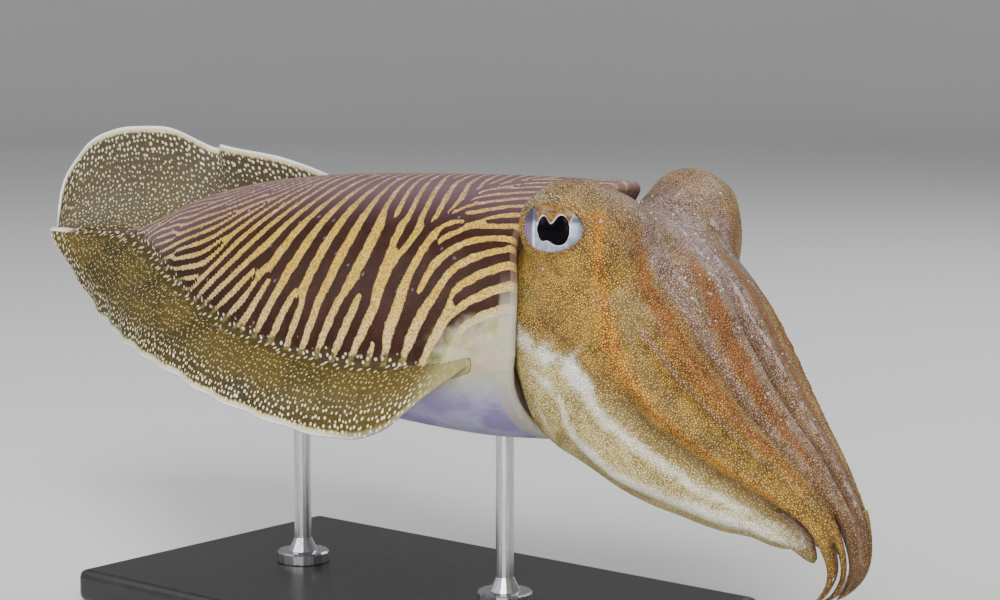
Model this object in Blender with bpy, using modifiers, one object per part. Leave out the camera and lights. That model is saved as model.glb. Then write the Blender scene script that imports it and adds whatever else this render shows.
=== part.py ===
"""Common cuttlefish, life size, swimming level above a plain display stand.

Metres, +Z up. The animal faces +X and its right side is -Y. The origin is the centre of the
stand's underside. Body shapes are worked out in the animal's own frame, whose origin is the tip
of the mantle's dorsal lobe, and are then placed above the stand.
"""

import math

import bmesh
import bpy
import numpy as np

# Where the dorsal lobe's tip is above the stand
LOBE_TIP_X = 0.100
LOBE_TIP_Z = 0.162

# Gap kept between pieces that touch
GAP = 0.0003

# Mantle: stations run along X from the tail knob to the side of the front margin
TAIL_X = -0.298
FRONT_SIDE_X = -0.013
MANTLE_STATIONS = 27
MANTLE_SIDES = 36
MANTLE_HALF_WIDTH = (
    (-0.298, 0.0020), (-0.265, 0.0032), (-0.245, 0.0060), (-0.225, 0.0130), (-0.200, 0.0260),
    (-0.160, 0.0435), (-0.120, 0.0530), (-0.080, 0.0560), (-0.040, 0.0545), (-0.013, 0.0500),
)
MANTLE_TOP = (
    (-0.298, -0.0310), (-0.265, -0.0300), (-0.245, -0.0280), (-0.225, -0.0210), (-0.200, -0.0125),
    (-0.160, -0.0045), (-0.120, -0.0008), (-0.080, 0.0008), (-0.040, 0.0018), (-0.013, 0.0018),
)
MANTLE_SIDE_LEVEL = (
    (-0.298, -0.0330), (-0.265, -0.0325), (-0.245, -0.0335), (-0.225, -0.0370), (-0.200, -0.0430),
    (-0.160, -0.0530), (-0.120, -0.0600), (-0.080, -0.0635), (-0.040, -0.0600), (-0.013, -0.0520),
)
MANTLE_BOTTOM = (
    (-0.298, -0.0350), (-0.265, -0.0360), (-0.245, -0.0410), (-0.225, -0.0490), (-0.200, -0.0590),
    (-0.160, -0.0720), (-0.120, -0.0810), (-0.080, -0.0860), (-0.040, -0.0880), (-0.013, -0.0870),
)
LOBE_REACH = 0.0105
LOBE_SHARPNESS = 8
EYE_NOTCH = 0.0110
EYE_NOTCH_TURN = 40.0
EYE_NOTCH_SPREAD = 21.0
VENTRAL_NOTCH = 0.0075
FRONT_SHEAR_START_X = -0.075
WALL = 0.0040
RECESS_FLOOR_X = -0.0343
# Rings from the rounded rim to the floor of the recess: depth in walls, and share of the way back
RIM_RINGS = ((0.5, -0.07), (1.0, 0.0), (1.2, 0.5), (1.4, 1.0))

# Fins: thickness at the root and at the edge, and the number of spans
FIN_FRONT_X = -0.036
FIN_ROOT_THICKNESS = 0.0036
FIN_EDGE_THICKNESS = 0.0009
FIN_ROOT_SHARE_OF_WIDTH = 0.25
FIN_STATIONS = 40
FIN_SPANS = 6
FIN_END_MARGIN = 0.0010
# Share of the fin's rise that its root already has
FIN_ROOT_RISE = 0.25
# The pose draws the right fin in and spreads the left one; -1 is the right side and 1 the left
FIN_WIDTH = {
    -1: ((-0.298, 0.0000), (-0.292, 0.0050), (-0.283, 0.0115), (-0.270, 0.0200), (-0.255, 0.0278),
         (-0.240, 0.0320), (-0.220, 0.0318), (-0.190, 0.0281), (-0.150, 0.0239), (-0.065, 0.0244),
         (-0.050, 0.0220), (-0.042, 0.0160), (-0.036, 0.0040)),
    1: ((-0.298, 0.0000), (-0.296, 0.0120), (-0.292, 0.0245), (-0.283, 0.0336), (-0.270, 0.0415),
        (-0.255, 0.0450), (-0.240, 0.0465), (-0.220, 0.0430), (-0.190, 0.0390), (-0.150, 0.0310),
        (-0.065, 0.0255), (-0.050, 0.0225), (-0.042, 0.0160), (-0.036, 0.0040)),
}
# Angles in degrees: how far each fin points back, and how far its edge stands above level
FIN_SWEEP = {
    -1: ((-0.298, 0.0), (-0.270, 4.0), (-0.230, 8.0), (-0.150, 6.0), (-0.036, 0.0)),
    1: ((-0.298, 50.0), (-0.270, 40.0), (-0.240, 20.0), (-0.200, 10.0), (-0.036, 0.0)),
}
FIN_RISE = {
    -1: ((-0.298, -78.0), (-0.270, -72.0), (-0.245, -66.0), (-0.220, -58.0), (-0.190, -50.0),
         (-0.150, -45.0), (-0.100, -46.0), (-0.060, -54.0), (-0.036, -40.0)),
    1: ((-0.298, 72.0), (-0.270, 78.0), (-0.246, 74.0), (-0.230, 58.0), (-0.220, 76.0), (-0.205, 72.0),
        (-0.190, 62.0), (-0.170, 32.0), (-0.150, -8.0), (-0.120, -38.0), (-0.060, -48.0), (-0.036, -40.0)),
}

# Head and arm crown: one curved axis in the plane of symmetry, as (X, Z) of its points
CROWN_AXIS = (
    (-0.034, -0.0430), (-0.010, -0.0430), (0.012, -0.0525), (0.032, -0.0665), (0.052, -0.0810),
    (0.070, -0.0945), (0.0805, -0.1055), (0.0835, -0.1165), (0.0765, -0.1270), (0.0640, -0.1325),
)
CROWN_HALF_WIDTH = (
    (0.000, 0.0360), (0.012, 0.0400), (0.024, 0.0450), (0.036, 0.0450), (0.0478, 0.0440),
    (0.0719, 0.0390), (0.0966, 0.0310), (0.1191, 0.0210), (0.1336, 0.0152), (0.144, 0.0125),
    (0.156, 0.0090), (0.168, 0.0055),
)
CROWN_UP = (
    (0.000, 0.0280), (0.024, 0.0365), (0.036, 0.0400), (0.0478, 0.0375), (0.0719, 0.0285),
    (0.0966, 0.0196), (0.1191, 0.0141), (0.1336, 0.0112), (0.144, 0.0095), (0.156, 0.0070),
    (0.168, 0.0040),
)
CROWN_DOWN = (
    (0.000, 0.0280), (0.012, 0.0320), (0.024, 0.0405), (0.036, 0.0460), (0.0478, 0.0475),
    (0.0719, 0.0430), (0.0966, 0.0325), (0.1191, 0.0225), (0.1336, 0.0170), (0.144, 0.0130),
    (0.156, 0.0085), (0.168, 0.0045),
)
# The lower half is squarer, and a channel under the head makes room for the funnel
CHEEK_SQUARENESS = 0.80
CHANNEL_DEPTH = 0.42
CHANNEL_HALF_ANGLE = 0.42
CHANNEL_FADE_S = (0.052, 0.092)
AXIS_SAMPLES = 400
HEAD_END_S = 0.0480
HEAD_STATIONS = 18
HEAD_SIDES = 48

# Eyes: the centre of the right one is at -EYE_Y, and both look a little forward and up
EYE_X = 0.0000
EYE_Y = 0.0325
EYE_Z = -0.0115
EYE_RADIUS = 0.0125
EYE_BULGE = (0.0170, 0.0140, 0.0160)
# A rounded mass inward of each eye lets its bulge grow out of the head
SHOULDER_PLACE = (0.0070, 0.0220, -0.0210)
SHOULDER_SIZE = (0.0165, 0.0190, 0.0205)
BLEND = 0.0030
BLEND_ENDS_S = (0.0400, 0.0480)
BLEND_LIFT = 0.0120
HEAD_SEARCH_SHARE = 2.2
HEAD_SEARCH_STEP = 0.05
HEAD_HALVINGS = 12
EYE_FORWARD = 13.0
EYE_UPWARD = 3.0
EYE_OPENING = (0.0106, 0.0102)
EYE_SEGMENTS = 20
LID_RING = (0.0112, 0.0108)
LID_RADIUS = 0.0015
UPPER_LID_EXTRA = 0.7
LID_STATIONS = 20
LID_SIDES = 6

# Pupil: a dark W, as half width, half height, and how far its upper and lower teeth reach in
PUPIL_HALF_WIDTH = 0.0056
PUPIL_HALF_HEIGHT = 0.0050
PUPIL_UPPER_TOOTH = 0.62
PUPIL_LOWER_TOOTH = 0.34
PUPIL_TOOTH_WIDTH = 0.34
PUPIL_CORNER_POWER = 3.5
PUPIL_END_SHARE = 0.06
PUPIL_THICKNESS = 0.0008
PUPIL_STATIONS = 15
PUPIL_SPANS = 3

# Arms: four to a side. Borders between them are angles round the crown in degrees; the one over
# the lowest pair changes along the arms
ARM_UPPER_BORDERS = (0.0, 34.0, 57.0)
ARM_LOWER_BORDER = ((0.048, 80.0), (0.060, 88.0), (0.080, 97.0), (0.115, 95.0), (0.130, 88.0))
ARM_END_S = {1: 0.1520, 2: 0.1580, 3: 0.1640, 4: 0.1440}
ARM_SPLIT_S = 0.1150
ARM_HOLLOW = ((0.048, 0.62), (0.0966, 0.52), (0.1191, 0.42), (0.156, 0.34))
ARM_GROOVE = 0.10
ARM_GROOVE_POWER = 2.5
ARM_MIDLINE_GROOVE = 0.3
ARM_KEEL = 0.05
ARM_KEEL_WIDTH = 0.22
ARM_FORMS_GROWN_S = 0.085
ARM_TAPER = 0.034
ARM_TIP_SHARE = 0.10
ARM_CLEARANCE = 0.6 * GAP
ARM_OUTER_POINTS = 7
ARM_INNER_POINTS = 3
ARM_BASE_STATIONS = 9
ARM_TIP_STATIONS = 8

# Suckers: two alternating rows on each arm's inner face, smaller towards the tip
SUCKER_START_S = 0.0600
SUCKER_CLEAR_OF_CUT = 0.0030
SUCKER_CLEAR_OF_TIP = 0.0030
SUCKER_LARGEST = 0.0034
SUCKER_SMALLEST = 0.0010
SUCKER_SHARE_OF_WIDTH = 0.40
SUCKER_ROW = 0.44
SUCKER_PITCH = 3.2
SUCKER_HEIGHT = 0.40
SUCKER_ROOT = 0.0009
SUCKER_BASE = 0.80
SUCKER_CUP = 0.45
SUCKER_SIDES = 5

# Funnel: a bent tube from the recess floor to under the cheeks, as (X, Z, radius) of its stations
FUNNEL_STATIONS = (
    (-0.0340, -0.0728, 0.0070), (-0.0260, -0.0729, 0.0071), (-0.0190, -0.0742, 0.0069),
    (-0.0130, -0.0775, 0.0066), (-0.0070, -0.0820, 0.0063), (-0.0010, -0.0868, 0.0060),
    (0.0040, -0.0910, 0.0056),
)
FUNNEL_BORE_SHARE = 0.68
FUNNEL_BORE_STATIONS = 3
FUNNEL_SIDES = 16

# Stand
BASE_LENGTH = 0.220
BASE_WIDTH = 0.130
BASE_HEIGHT = 0.012
BASE_BEVEL = 0.003
BASE_BEVEL_SEGMENTS = 3
BASE_SHARP_ANGLE = 40.0
ROD_X = (-0.055, -0.155)
ROD_RADIUS = 0.0032
ROD_FLANGE_RADIUS = 0.0100
ROD_FLANGE_HEIGHT = 0.0040
ROD_COLLAR_RADIUS = 0.0055
ROD_COLLAR_HEIGHT = 0.0050
ROD_CHAMFER = 0.0006
ROD_SOCKET_DEPTH = 0.0080
ROD_STEPS = 16
ROD_MERGE = 0.00005


def through(knots, x):
    """Value at x of the smooth curve through (x, value) knots, with no overshoot between them."""
    xs = np.array([k[0] for k in knots])
    ys = np.array([k[1] for k in knots])
    x = float(np.clip(x, xs[0], xs[-1]))
    steps = np.diff(xs)
    slopes = np.diff(ys) / steps
    tangents = np.empty(len(xs))
    tangents[0], tangents[-1] = slopes[0], slopes[-1]
    for i in range(1, len(xs) - 1):
        before, after = slopes[i - 1], slopes[i]
        if before * after <= 0:
            tangents[i] = 0.0
        else:
            w1 = 2 * steps[i] + steps[i - 1]
            w2 = steps[i] + 2 * steps[i - 1]
            tangents[i] = (w1 + w2) / (w1 / before + w2 / after)
    i = min(int(np.searchsorted(xs, x, side="right")) - 1, len(steps) - 1)
    t = (x - xs[i]) / steps[i]
    h00, h10 = (1 + 2 * t) * (1 - t) ** 2, t * (1 - t) ** 2
    h01, h11 = t * t * (3 - 2 * t), t * t * (t - 1)
    return float(
        h00 * ys[i] + h10 * steps[i] * tangents[i] + h01 * ys[i + 1] + h11 * steps[i] * tangents[i + 1]
    )


def ease(x, low, high):
    """0 below low, 1 above high, and smooth between."""
    t = min(max((x - low) / (high - low), 0.0), 1.0)
    return t * t * (3 - 2 * t)


def placed(point):
    """A point of the animal's frame, in the stand's frame."""
    return (point[0] + LOBE_TIP_X, point[1], point[2] + LOBE_TIP_Z)


def material(name, colour, roughness, metallic=0.0):
    """A Principled material of one colour."""
    made = bpy.data.materials.new(name)
    made.use_nodes = True
    shader = made.node_tree.nodes["Principled BSDF"]
    shader.inputs["Base Color"].default_value = (*colour, 1.0)
    shader.inputs["Roughness"].default_value = roughness
    shader.inputs["Metallic"].default_value = metallic
    return made


def mesh_object(name, points, faces, finish, collection):
    """A mesh object with its faces pointing out."""
    mesh = bpy.data.meshes.new(name)
    mesh.from_pydata([tuple(p) for p in points], [], faces)
    made = bmesh.new()
    made.from_mesh(mesh)
    bmesh.ops.recalc_face_normals(made, faces=made.faces)
    made.to_mesh(mesh)
    made.free()
    mesh.materials.append(finish)
    mesh.shade_smooth()
    obj = bpy.data.objects.new(name, mesh)
    collection.objects.link(obj)
    return obj


def loft(rings):
    """Points and faces of a closed tube through rings of equal length, with a fan on each end."""
    count = len(rings[0])
    points = [p for ring in rings for p in ring]
    faces = []
    for i in range(len(rings) - 1):
        for j in range(count):
            k = (j + 1) % count
            a, b = i * count, (i + 1) * count
            faces.append((a + j, a + k, b + k, b + j))
    for ring, start in ((rings[0], 0), (rings[-1], (len(rings) - 1) * count)):
        centre = tuple(np.mean(np.array(ring), axis=0))
        points.append(centre)
        for j in range(count):
            faces.append((start + j, start + (j + 1) % count, len(points) - 1))
    return points, faces


def mantle_point(x, turn, inset=0.0):
    """Point on the mantle at station x, turn radians from the dorsal midline towards the right side."""
    half_width = through(MANTLE_HALF_WIDTH, x) - inset
    level = through(MANTLE_SIDE_LEVEL, x)
    up = through(MANTLE_TOP, x) - level - inset
    down = level - through(MANTLE_BOTTOM, x) - inset
    height = up if math.cos(turn) >= 0 else down
    return (x, -half_width * math.sin(turn), level + height * math.cos(turn))


def front_shear(x, turn):
    """How far forward the ring is pushed at this turn: the lobe, a notch by each eye, and the lower notch."""
    lobe = LOBE_REACH * max(math.cos(turn), 0.0) ** LOBE_SHARPNESS
    from_top = math.degrees(math.acos(max(-1.0, min(1.0, math.cos(turn)))))
    by_eye = EYE_NOTCH * math.exp(-(((from_top - EYE_NOTCH_TURN) / EYE_NOTCH_SPREAD) ** 2))
    below = VENTRAL_NOTCH * max(-math.cos(turn), 0.0)
    return (lobe - by_eye - below) * ease(x, FRONT_SHEAR_START_X, FRONT_SIDE_X)


def mantle_ring(x, inset=0.0, towards_floor=0.0):
    """One ring of the mantle, sheared at the front and drawn back a share of the way to the recess floor."""
    ring = []
    for j in range(MANTLE_SIDES):
        turn = 2 * math.pi * j / MANTLE_SIDES
        p = mantle_point(x, turn, inset)
        front = p[0] + front_shear(x, turn)
        ring.append(placed((front + (RECESS_FLOOR_X - front) * towards_floor, p[1], p[2])))
    return ring


def build_mantle(finish, collection):
    """The mantle: a pointed dome over a flatter belly, open at the front as far as the neck."""
    rings = [mantle_ring(x) for x in np.linspace(TAIL_X, FRONT_SIDE_X, MANTLE_STATIONS)]
    for walls, towards_floor in RIM_RINGS:
        rings.append(mantle_ring(FRONT_SIDE_X, WALL * walls, towards_floor))
    return mesh_object("mantle", *loft(rings), finish, collection)


def fin_point(x, share, side):
    """Middle of the fin's thickness at station x, share of the way from root to edge."""
    reach = through(FIN_WIDTH[side], x) * share
    sweep = math.radians(through(FIN_SWEEP[side], x))
    rise = math.radians(through(FIN_RISE[side], x)) * (FIN_ROOT_RISE + (1 - FIN_ROOT_RISE) * share)
    level = math.cos(rise)
    return (
        x - reach * level * math.sin(sweep),
        side * (through(MANTLE_HALF_WIDTH, x) + GAP + reach * level * math.cos(sweep)),
        through(MANTLE_SIDE_LEVEL, x) + reach * math.sin(rise),
    )


def slab(grid, thickness):
    """Points and triangles of a thin curved plate: grid of middle points, and its thickness at each."""
    rows, columns = len(grid), len(grid[0])
    middle = np.array(grid)
    along = np.gradient(middle, axis=0)
    across = np.gradient(middle, axis=1)
    normal = np.cross(along, across)
    normal /= np.maximum(np.linalg.norm(normal, axis=2, keepdims=True), 1e-12)
    half = np.array(thickness)[:, :, None] / 2
    points = list((middle + normal * half).reshape(-1, 3)) + list((middle - normal * half).reshape(-1, 3))
    below = rows * columns
    faces = []
    for i in range(rows - 1):
        for j in range(columns - 1):
            a, b = i * columns + j, (i + 1) * columns + j
            for face in ((a, b, b + 1), (a, b + 1, a + 1)):
                faces.append(face)
                faces.append(tuple(n + below for n in reversed(face)))
    rim = [(0, j) for j in range(columns)] + [(i, columns - 1) for i in range(1, rows)]
    rim += [(rows - 1, j) for j in range(columns - 2, -1, -1)] + [(i, 0) for i in range(rows - 2, 0, -1)]
    for n, (i, j) in enumerate(rim):
        k, m = rim[(n + 1) % len(rim)]
        a, b = i * columns + j, k * columns + m
        faces.append((a, b, b + below))
        faces.append((a, b + below, a + below))
    return points, faces


def build_fin(side, finish, collection):
    """One fin, a thin rippled skirt from behind the front margin to the tail knob."""
    xs = np.linspace(TAIL_X + FIN_END_MARGIN, FIN_FRONT_X - FIN_END_MARGIN, FIN_STATIONS)
    shares = [j / FIN_SPANS for j in range(FIN_SPANS + 1)]
    grid = [[placed(fin_point(x, share, side)) for share in shares] for x in xs]
    thickness = []
    for x in xs:
        root = FIN_ROOT_SHARE_OF_WIDTH * through(FIN_WIDTH[side], x)
        root = min(max(root, FIN_EDGE_THICKNESS), FIN_ROOT_THICKNESS)
        thickness.append([root + (FIN_EDGE_THICKNESS - root) * share for share in shares])
    points, faces = slab(grid, thickness)
    columns = len(shares)
    for i, x in enumerate(xs):
        pair = (i * columns, (i + len(xs)) * columns)
        root_y = side * (through(MANTLE_HALF_WIDTH, x) + GAP)
        level = through(MANTLE_SIDE_LEVEL, x)
        for index, way in zip(sorted(pair, key=lambda n: points[n][2]), (-0.5, 0.5)):
            points[index] = placed((x, root_y, level + way * thickness[i][0]))
    name = "fin_left" if side > 0 else "fin_right"
    return mesh_object(name, points, faces, finish, collection)


def axis_frames():
    """Even samples of the crown's axis: distance along it, point, and unit tangent in the XZ plane."""
    knots = np.array(CROWN_AXIS)
    chord = np.concatenate([[0.0], np.cumsum(np.linalg.norm(np.diff(knots, axis=0), axis=1))])
    fine = np.linspace(0.0, chord[-1], AXIS_SAMPLES)
    tangents = np.gradient(knots, chord, axis=0)
    line = np.empty((len(fine), 2))
    for n, c in enumerate(fine):
        i = min(int(np.searchsorted(chord, c, side="right")) - 1, len(chord) - 2)
        step = chord[i + 1] - chord[i]
        t = (c - chord[i]) / step
        line[n] = (
            (1 + 2 * t) * (1 - t) ** 2 * knots[i]
            + t * (1 - t) ** 2 * step * tangents[i]
            + t * t * (3 - 2 * t) * knots[i + 1]
            + t * t * (t - 1) * step * tangents[i + 1]
        )
    lengths = np.concatenate([[0.0], np.cumsum(np.linalg.norm(np.diff(line, axis=0), axis=1))])
    directions = np.gradient(line, lengths, axis=0)
    directions /= np.linalg.norm(directions, axis=1, keepdims=True)
    return lengths, line, directions


AXIS_S, AXIS_LINE, AXIS_DIRECTION = axis_frames()


def signed_power(value, power):
    """value raised to a power, keeping its sign."""
    return math.copysign(abs(value) ** power, value)


def crown_point(s, turn, share):
    """Point at distance s along the crown's axis, turn radians from its top to +Y, share of the way out."""
    x = np.interp(s, AXIS_S, AXIS_LINE[:, 0])
    z = np.interp(s, AXIS_S, AXIS_LINE[:, 1])
    dx = np.interp(s, AXIS_S, AXIS_DIRECTION[:, 0])
    dz = np.interp(s, AXIS_S, AXIS_DIRECTION[:, 1])
    size = math.hypot(dx, dz)
    up_x, up_z = -dz / size, dx / size
    sine, cosine = math.sin(turn), math.cos(turn)
    square = 1.0 + (CHEEK_SQUARENESS - 1.0) * max(-cosine, 0.0) ** 0.5
    half_height = through(CROWN_UP if cosine >= 0 else CROWN_DOWN, s)
    from_keel = math.pi - abs((turn + math.pi) % (2 * math.pi) - math.pi)
    channel = CHANNEL_DEPTH * math.exp(-((from_keel / CHANNEL_HALF_ANGLE) ** 2))
    share *= 1.0 - channel * (1.0 - ease(s, *CHANNEL_FADE_S))
    height = half_height * signed_power(cosine, square) * share
    y = through(CROWN_HALF_WIDTH, s) * signed_power(sine, square) * share
    return (x + up_x * height, y, z + up_z * height)


def eye_frame(side):
    """Centre of one eye, and its unit axes: outward, forward and up."""
    forward, upward = math.radians(EYE_FORWARD), math.radians(EYE_UPWARD)
    out = np.array([
        math.sin(forward) * math.cos(upward),
        side * math.cos(forward) * math.cos(upward),
        math.sin(upward),
    ])
    along = np.cross((0.0, 0.0, 1.0), out) * -side
    along /= np.linalg.norm(along)
    above = np.cross(along, out) * side
    return np.array(placed((EYE_X, side * EYE_Y, EYE_Z))), out, along, above


def ball(name, centre, radius, finish, collection):
    """A sphere, its poles to the two sides of the animal."""
    made = bmesh.new()
    bmesh.ops.create_uvsphere(made, u_segments=EYE_SEGMENTS, v_segments=EYE_SEGMENTS // 2, radius=radius)
    for v in made.verts:
        x, y, z = v.co
        v.co = (centre[0] + x, centre[1] + z, centre[2] + y)
    return object_from(name, made, finish, collection)


def object_from(name, made, finish, collection):
    """A mesh object from a bmesh, which is freed, with its faces pointing out."""
    made.normal_update()
    bmesh.ops.recalc_face_normals(made, faces=made.faces)
    mesh = bpy.data.meshes.new(name)
    made.to_mesh(mesh)
    made.free()
    mesh.materials.append(finish)
    mesh.shade_smooth()
    obj = bpy.data.objects.new(name, mesh)
    collection.objects.link(obj)
    return obj


def largest_surface(mesh):
    """Leaves only the connected surface that holds the most space."""
    made = bmesh.new()
    made.from_mesh(mesh)
    waiting = set(made.faces)
    surfaces = []
    while waiting:
        found = {waiting.pop()}
        edge_of_search = list(found)
        while edge_of_search:
            face = edge_of_search.pop()
            for edge in face.edges:
                for other in edge.link_faces:
                    if other in waiting:
                        waiting.remove(other)
                        found.add(other)
                        edge_of_search.append(other)
        surfaces.append(found)

    def held(surface):
        total = 0.0
        for face in surface:
            corners = [v.co for v in face.verts]
            for n in range(1, len(corners) - 1):
                total += corners[0].dot(corners[n].cross(corners[n + 1]))
        return abs(total)

    surfaces.sort(key=held, reverse=True)
    for surface in surfaces[1:]:
        bmesh.ops.delete(made, geom=list(surface), context="FACES")
    bmesh.ops.delete(made, geom=[v for v in made.verts if not v.link_faces], context="VERTS")
    made.to_mesh(mesh)
    made.free()


def combine(obj, pieces, operation, solver="EXACT"):
    """Joins closed pieces to an object, or cuts them from it, by one Boolean, and removes them."""
    group = bpy.data.collections.new(f"{obj.name}_{operation.lower()}")
    bpy.context.scene.collection.children.link(group)
    for piece in pieces:
        for owner in list(piece.users_collection):
            owner.objects.unlink(piece)
        group.objects.link(piece)
        piece.hide_render = True
        piece.display_type = "WIRE"
    boolean = obj.modifiers.new("combine", "BOOLEAN")
    boolean.operation = operation
    boolean.operand_type = "COLLECTION"
    boolean.collection = group
    boolean.solver = solver
    bpy.context.view_layer.update()
    evaluated = obj.evaluated_get(bpy.context.evaluated_depsgraph_get())
    mesh = bpy.data.meshes.new_from_object(evaluated)
    obj.modifiers.remove(boolean)
    for piece in pieces:
        bpy.data.objects.remove(piece)
    bpy.data.collections.remove(group)
    largest_surface(mesh)
    finish = obj.data.materials[0]
    mesh.materials.clear()
    mesh.materials.append(finish)
    mesh.shade_smooth()
    obj.data = mesh


def lid_ring(side, finish, collection):
    """The rim of one eye's lids, thicker above, lying on the bulge round the opening."""
    centre, out, along, above = eye_frame(side)
    line, radii = [], []
    for n in range(LID_STATIONS):
        turn = 2 * math.pi * n / LID_STATIONS
        across = along * LID_RING[0] * math.cos(turn) + above * LID_RING[1] * math.sin(turn)
        stretch = np.array(EYE_BULGE)
        a = np.sum((out / stretch) ** 2)
        b = 2 * np.sum(out * across / stretch**2)
        c = np.sum((across / stretch) ** 2) - 1
        line.append(centre + across + out * (-b + math.sqrt(b * b - 4 * a * c)) / (2 * a))
        radii.append(LID_RADIUS * (1 + UPPER_LID_EXTRA * max(math.sin(turn), 0.0)))
    points, faces = [], []
    for n, middle in enumerate(line):
        ahead = line[(n + 1) % LID_STATIONS] - line[n - 1]
        ahead /= np.linalg.norm(ahead)
        outer = middle - centre
        outer -= ahead * np.dot(outer, ahead)
        outer /= np.linalg.norm(outer)
        side_way = np.cross(ahead, outer)
        for k in range(LID_SIDES):
            turn = 2 * math.pi * k / LID_SIDES
            points.append(middle + (outer * math.cos(turn) + side_way * math.sin(turn)) * radii[n])
            a, b = n * LID_SIDES, ((n + 1) % LID_STATIONS) * LID_SIDES
            m = (k + 1) % LID_SIDES
            faces.append((a + k, b + k, b + m, a + m))
    return mesh_object(f"lid_{side}", points, faces, finish, collection)


def opening_cutter(side, finish, collection):
    """The prism that opens the lids, from the middle of the eye outwards."""
    centre, out, along, above = eye_frame(side)
    rings = []
    for depth in (0.0, 2 * EYE_BULGE[0]):
        ring = []
        for n in range(LID_STATIONS):
            turn = 2 * math.pi * n / LID_STATIONS
            across = along * EYE_OPENING[0] * math.cos(turn) + above * EYE_OPENING[1] * math.sin(turn)
            ring.append(tuple(centre + across + out * depth))
        rings.append(ring)
    return mesh_object(f"opening_{side}", *loft(rings), finish, collection)


def eye_masses():
    """The bulge of each eye and the mass inward of it, as centre and radii in the animal's frame."""
    masses = []
    for side in (1, -1):
        masses.append((np.array((EYE_X, side * EYE_Y, EYE_Z)), np.array(EYE_BULGE)))
        x, y, z = SHOULDER_PLACE
        masses.append((np.array((x, side * y, z)), np.array(SHOULDER_SIZE)))
    return masses


def outside_head(s, turn, share, masses):
    """About how far a point lies outside the smooth union of the crown and the eyes' masses."""
    centre, rim, point = (np.array(crown_point(s, turn, n)) for n in (0.0, 1.0, share))
    reach = np.linalg.norm(rim - centre)
    lift = BLEND_LIFT * ease(s, *BLEND_ENDS_S)
    apart = [(share - 1.0) * reach]
    for middle, radii in masses:
        apart.append((np.linalg.norm((point - middle) / radii) - 1.0) * radii.min() + lift)
    nearest = min(apart)
    return nearest - BLEND * math.log(sum(math.exp((nearest - d) / BLEND) for d in apart))


def head_point(s, turn, masses):
    """The outermost point of the head's surface on the ray at this turn, found by halving."""
    share = HEAD_SEARCH_SHARE
    while outside_head(s, turn, share, masses) > 0:
        share -= HEAD_SEARCH_STEP
    low, high = share, share + HEAD_SEARCH_STEP
    for _ in range(HEAD_HALVINGS):
        middle = (low + high) / 2
        if outside_head(s, turn, middle, masses) > 0:
            high = middle
        else:
            low = middle
    return placed(crown_point(s, turn, low))


def build_head(finish, collection):
    """The head: neck, cheeks, a bulge and lids for each eye, and the face that the arms grow from."""
    masses = eye_masses()
    turns = [2 * math.pi * j / HEAD_SIDES for j in range(HEAD_SIDES)]
    stations = np.linspace(0.0, HEAD_END_S, HEAD_STATIONS)
    rings = [[head_point(s, turn, masses) for turn in turns] for s in stations]
    head = mesh_object("head", *loft(rings), finish, collection)
    lids = [lid_ring(side, finish, collection) for side in (1, -1)]
    cut = []
    for side in (1, -1):
        centre = placed((EYE_X, side * EYE_Y, EYE_Z))
        cut.append(ball(f"socket_{side}", centre, EYE_RADIUS + GAP, finish, collection))
        cut.append(opening_cutter(side, finish, collection))
    combine(head, lids, "UNION")
    combine(head, cut, "DIFFERENCE")


def pupil_point(side, across, up):
    """Point just over the eyeball, from its share of the pupil's half width and of its half height."""
    centre, out, along, above = eye_frame(side)
    over = EYE_RADIUS + GAP + PUPIL_THICKNESS / 2
    a, b = across * PUPIL_HALF_WIDTH, up * PUPIL_HALF_HEIGHT
    return tuple(centre + along * a + above * b + out * math.sqrt(over**2 - a**2 - b**2))


def build_eye(side, finish, pupil_finish, collection):
    """One eyeball, and its W-shaped pupil as a thin plate on it."""
    word = "left" if side > 0 else "right"
    centre = placed((EYE_X, side * EYE_Y, EYE_Z))
    ball(f"eye_{word}", centre, EYE_RADIUS, finish, collection)
    grid = []
    for across in np.linspace(-1.0, 1.0, PUPIL_STATIONS):
        tooth = math.exp(-((across / PUPIL_TOOTH_WIDTH) ** 2))
        rounding = math.sqrt(max(1.0 - abs(across) ** PUPIL_CORNER_POWER, PUPIL_END_SHARE))
        high = rounding - PUPIL_UPPER_TOOTH * tooth
        low = -rounding + PUPIL_LOWER_TOOTH * tooth
        grid.append([
            pupil_point(side, across, low + (high - low) * j / PUPIL_SPANS) for j in range(PUPIL_SPANS + 1)
        ])
    thickness = [[PUPIL_THICKNESS] * (PUPIL_SPANS + 1)] * PUPIL_STATIONS
    mesh_object(f"pupil_{word}", *slab(grid, thickness), pupil_finish, collection)


def build_funnel(finish, collection):
    """The funnel: a bent tube with a blind bore at its tip, lying in the channel under the head."""
    stations = [np.array(station) for station in FUNNEL_STATIONS]

    def ring(n, share):
        x, z, radius = stations[n]
        ahead = stations[min(n + 1, len(stations) - 1)][:2] - stations[max(n - 1, 0)][:2]
        if n == 0:
            ahead = np.array([1.0, 0.0])
        ahead = ahead / np.linalg.norm(ahead)
        points = []
        for k in range(FUNNEL_SIDES):
            turn = 2 * math.pi * k / FUNNEL_SIDES
            up = radius * share * math.cos(turn)
            points.append(placed((x - ahead[1] * up, radius * share * math.sin(turn), z + ahead[0] * up)))
        return points

    last = len(stations) - 1
    rings = [ring(n, 1.0) for n in range(last + 1)]
    rings += [ring(last - n, FUNNEL_BORE_SHARE) for n in range(FUNNEL_BORE_STATIONS)]
    mesh_object("funnel", *loft(rings), finish, collection)


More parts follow.
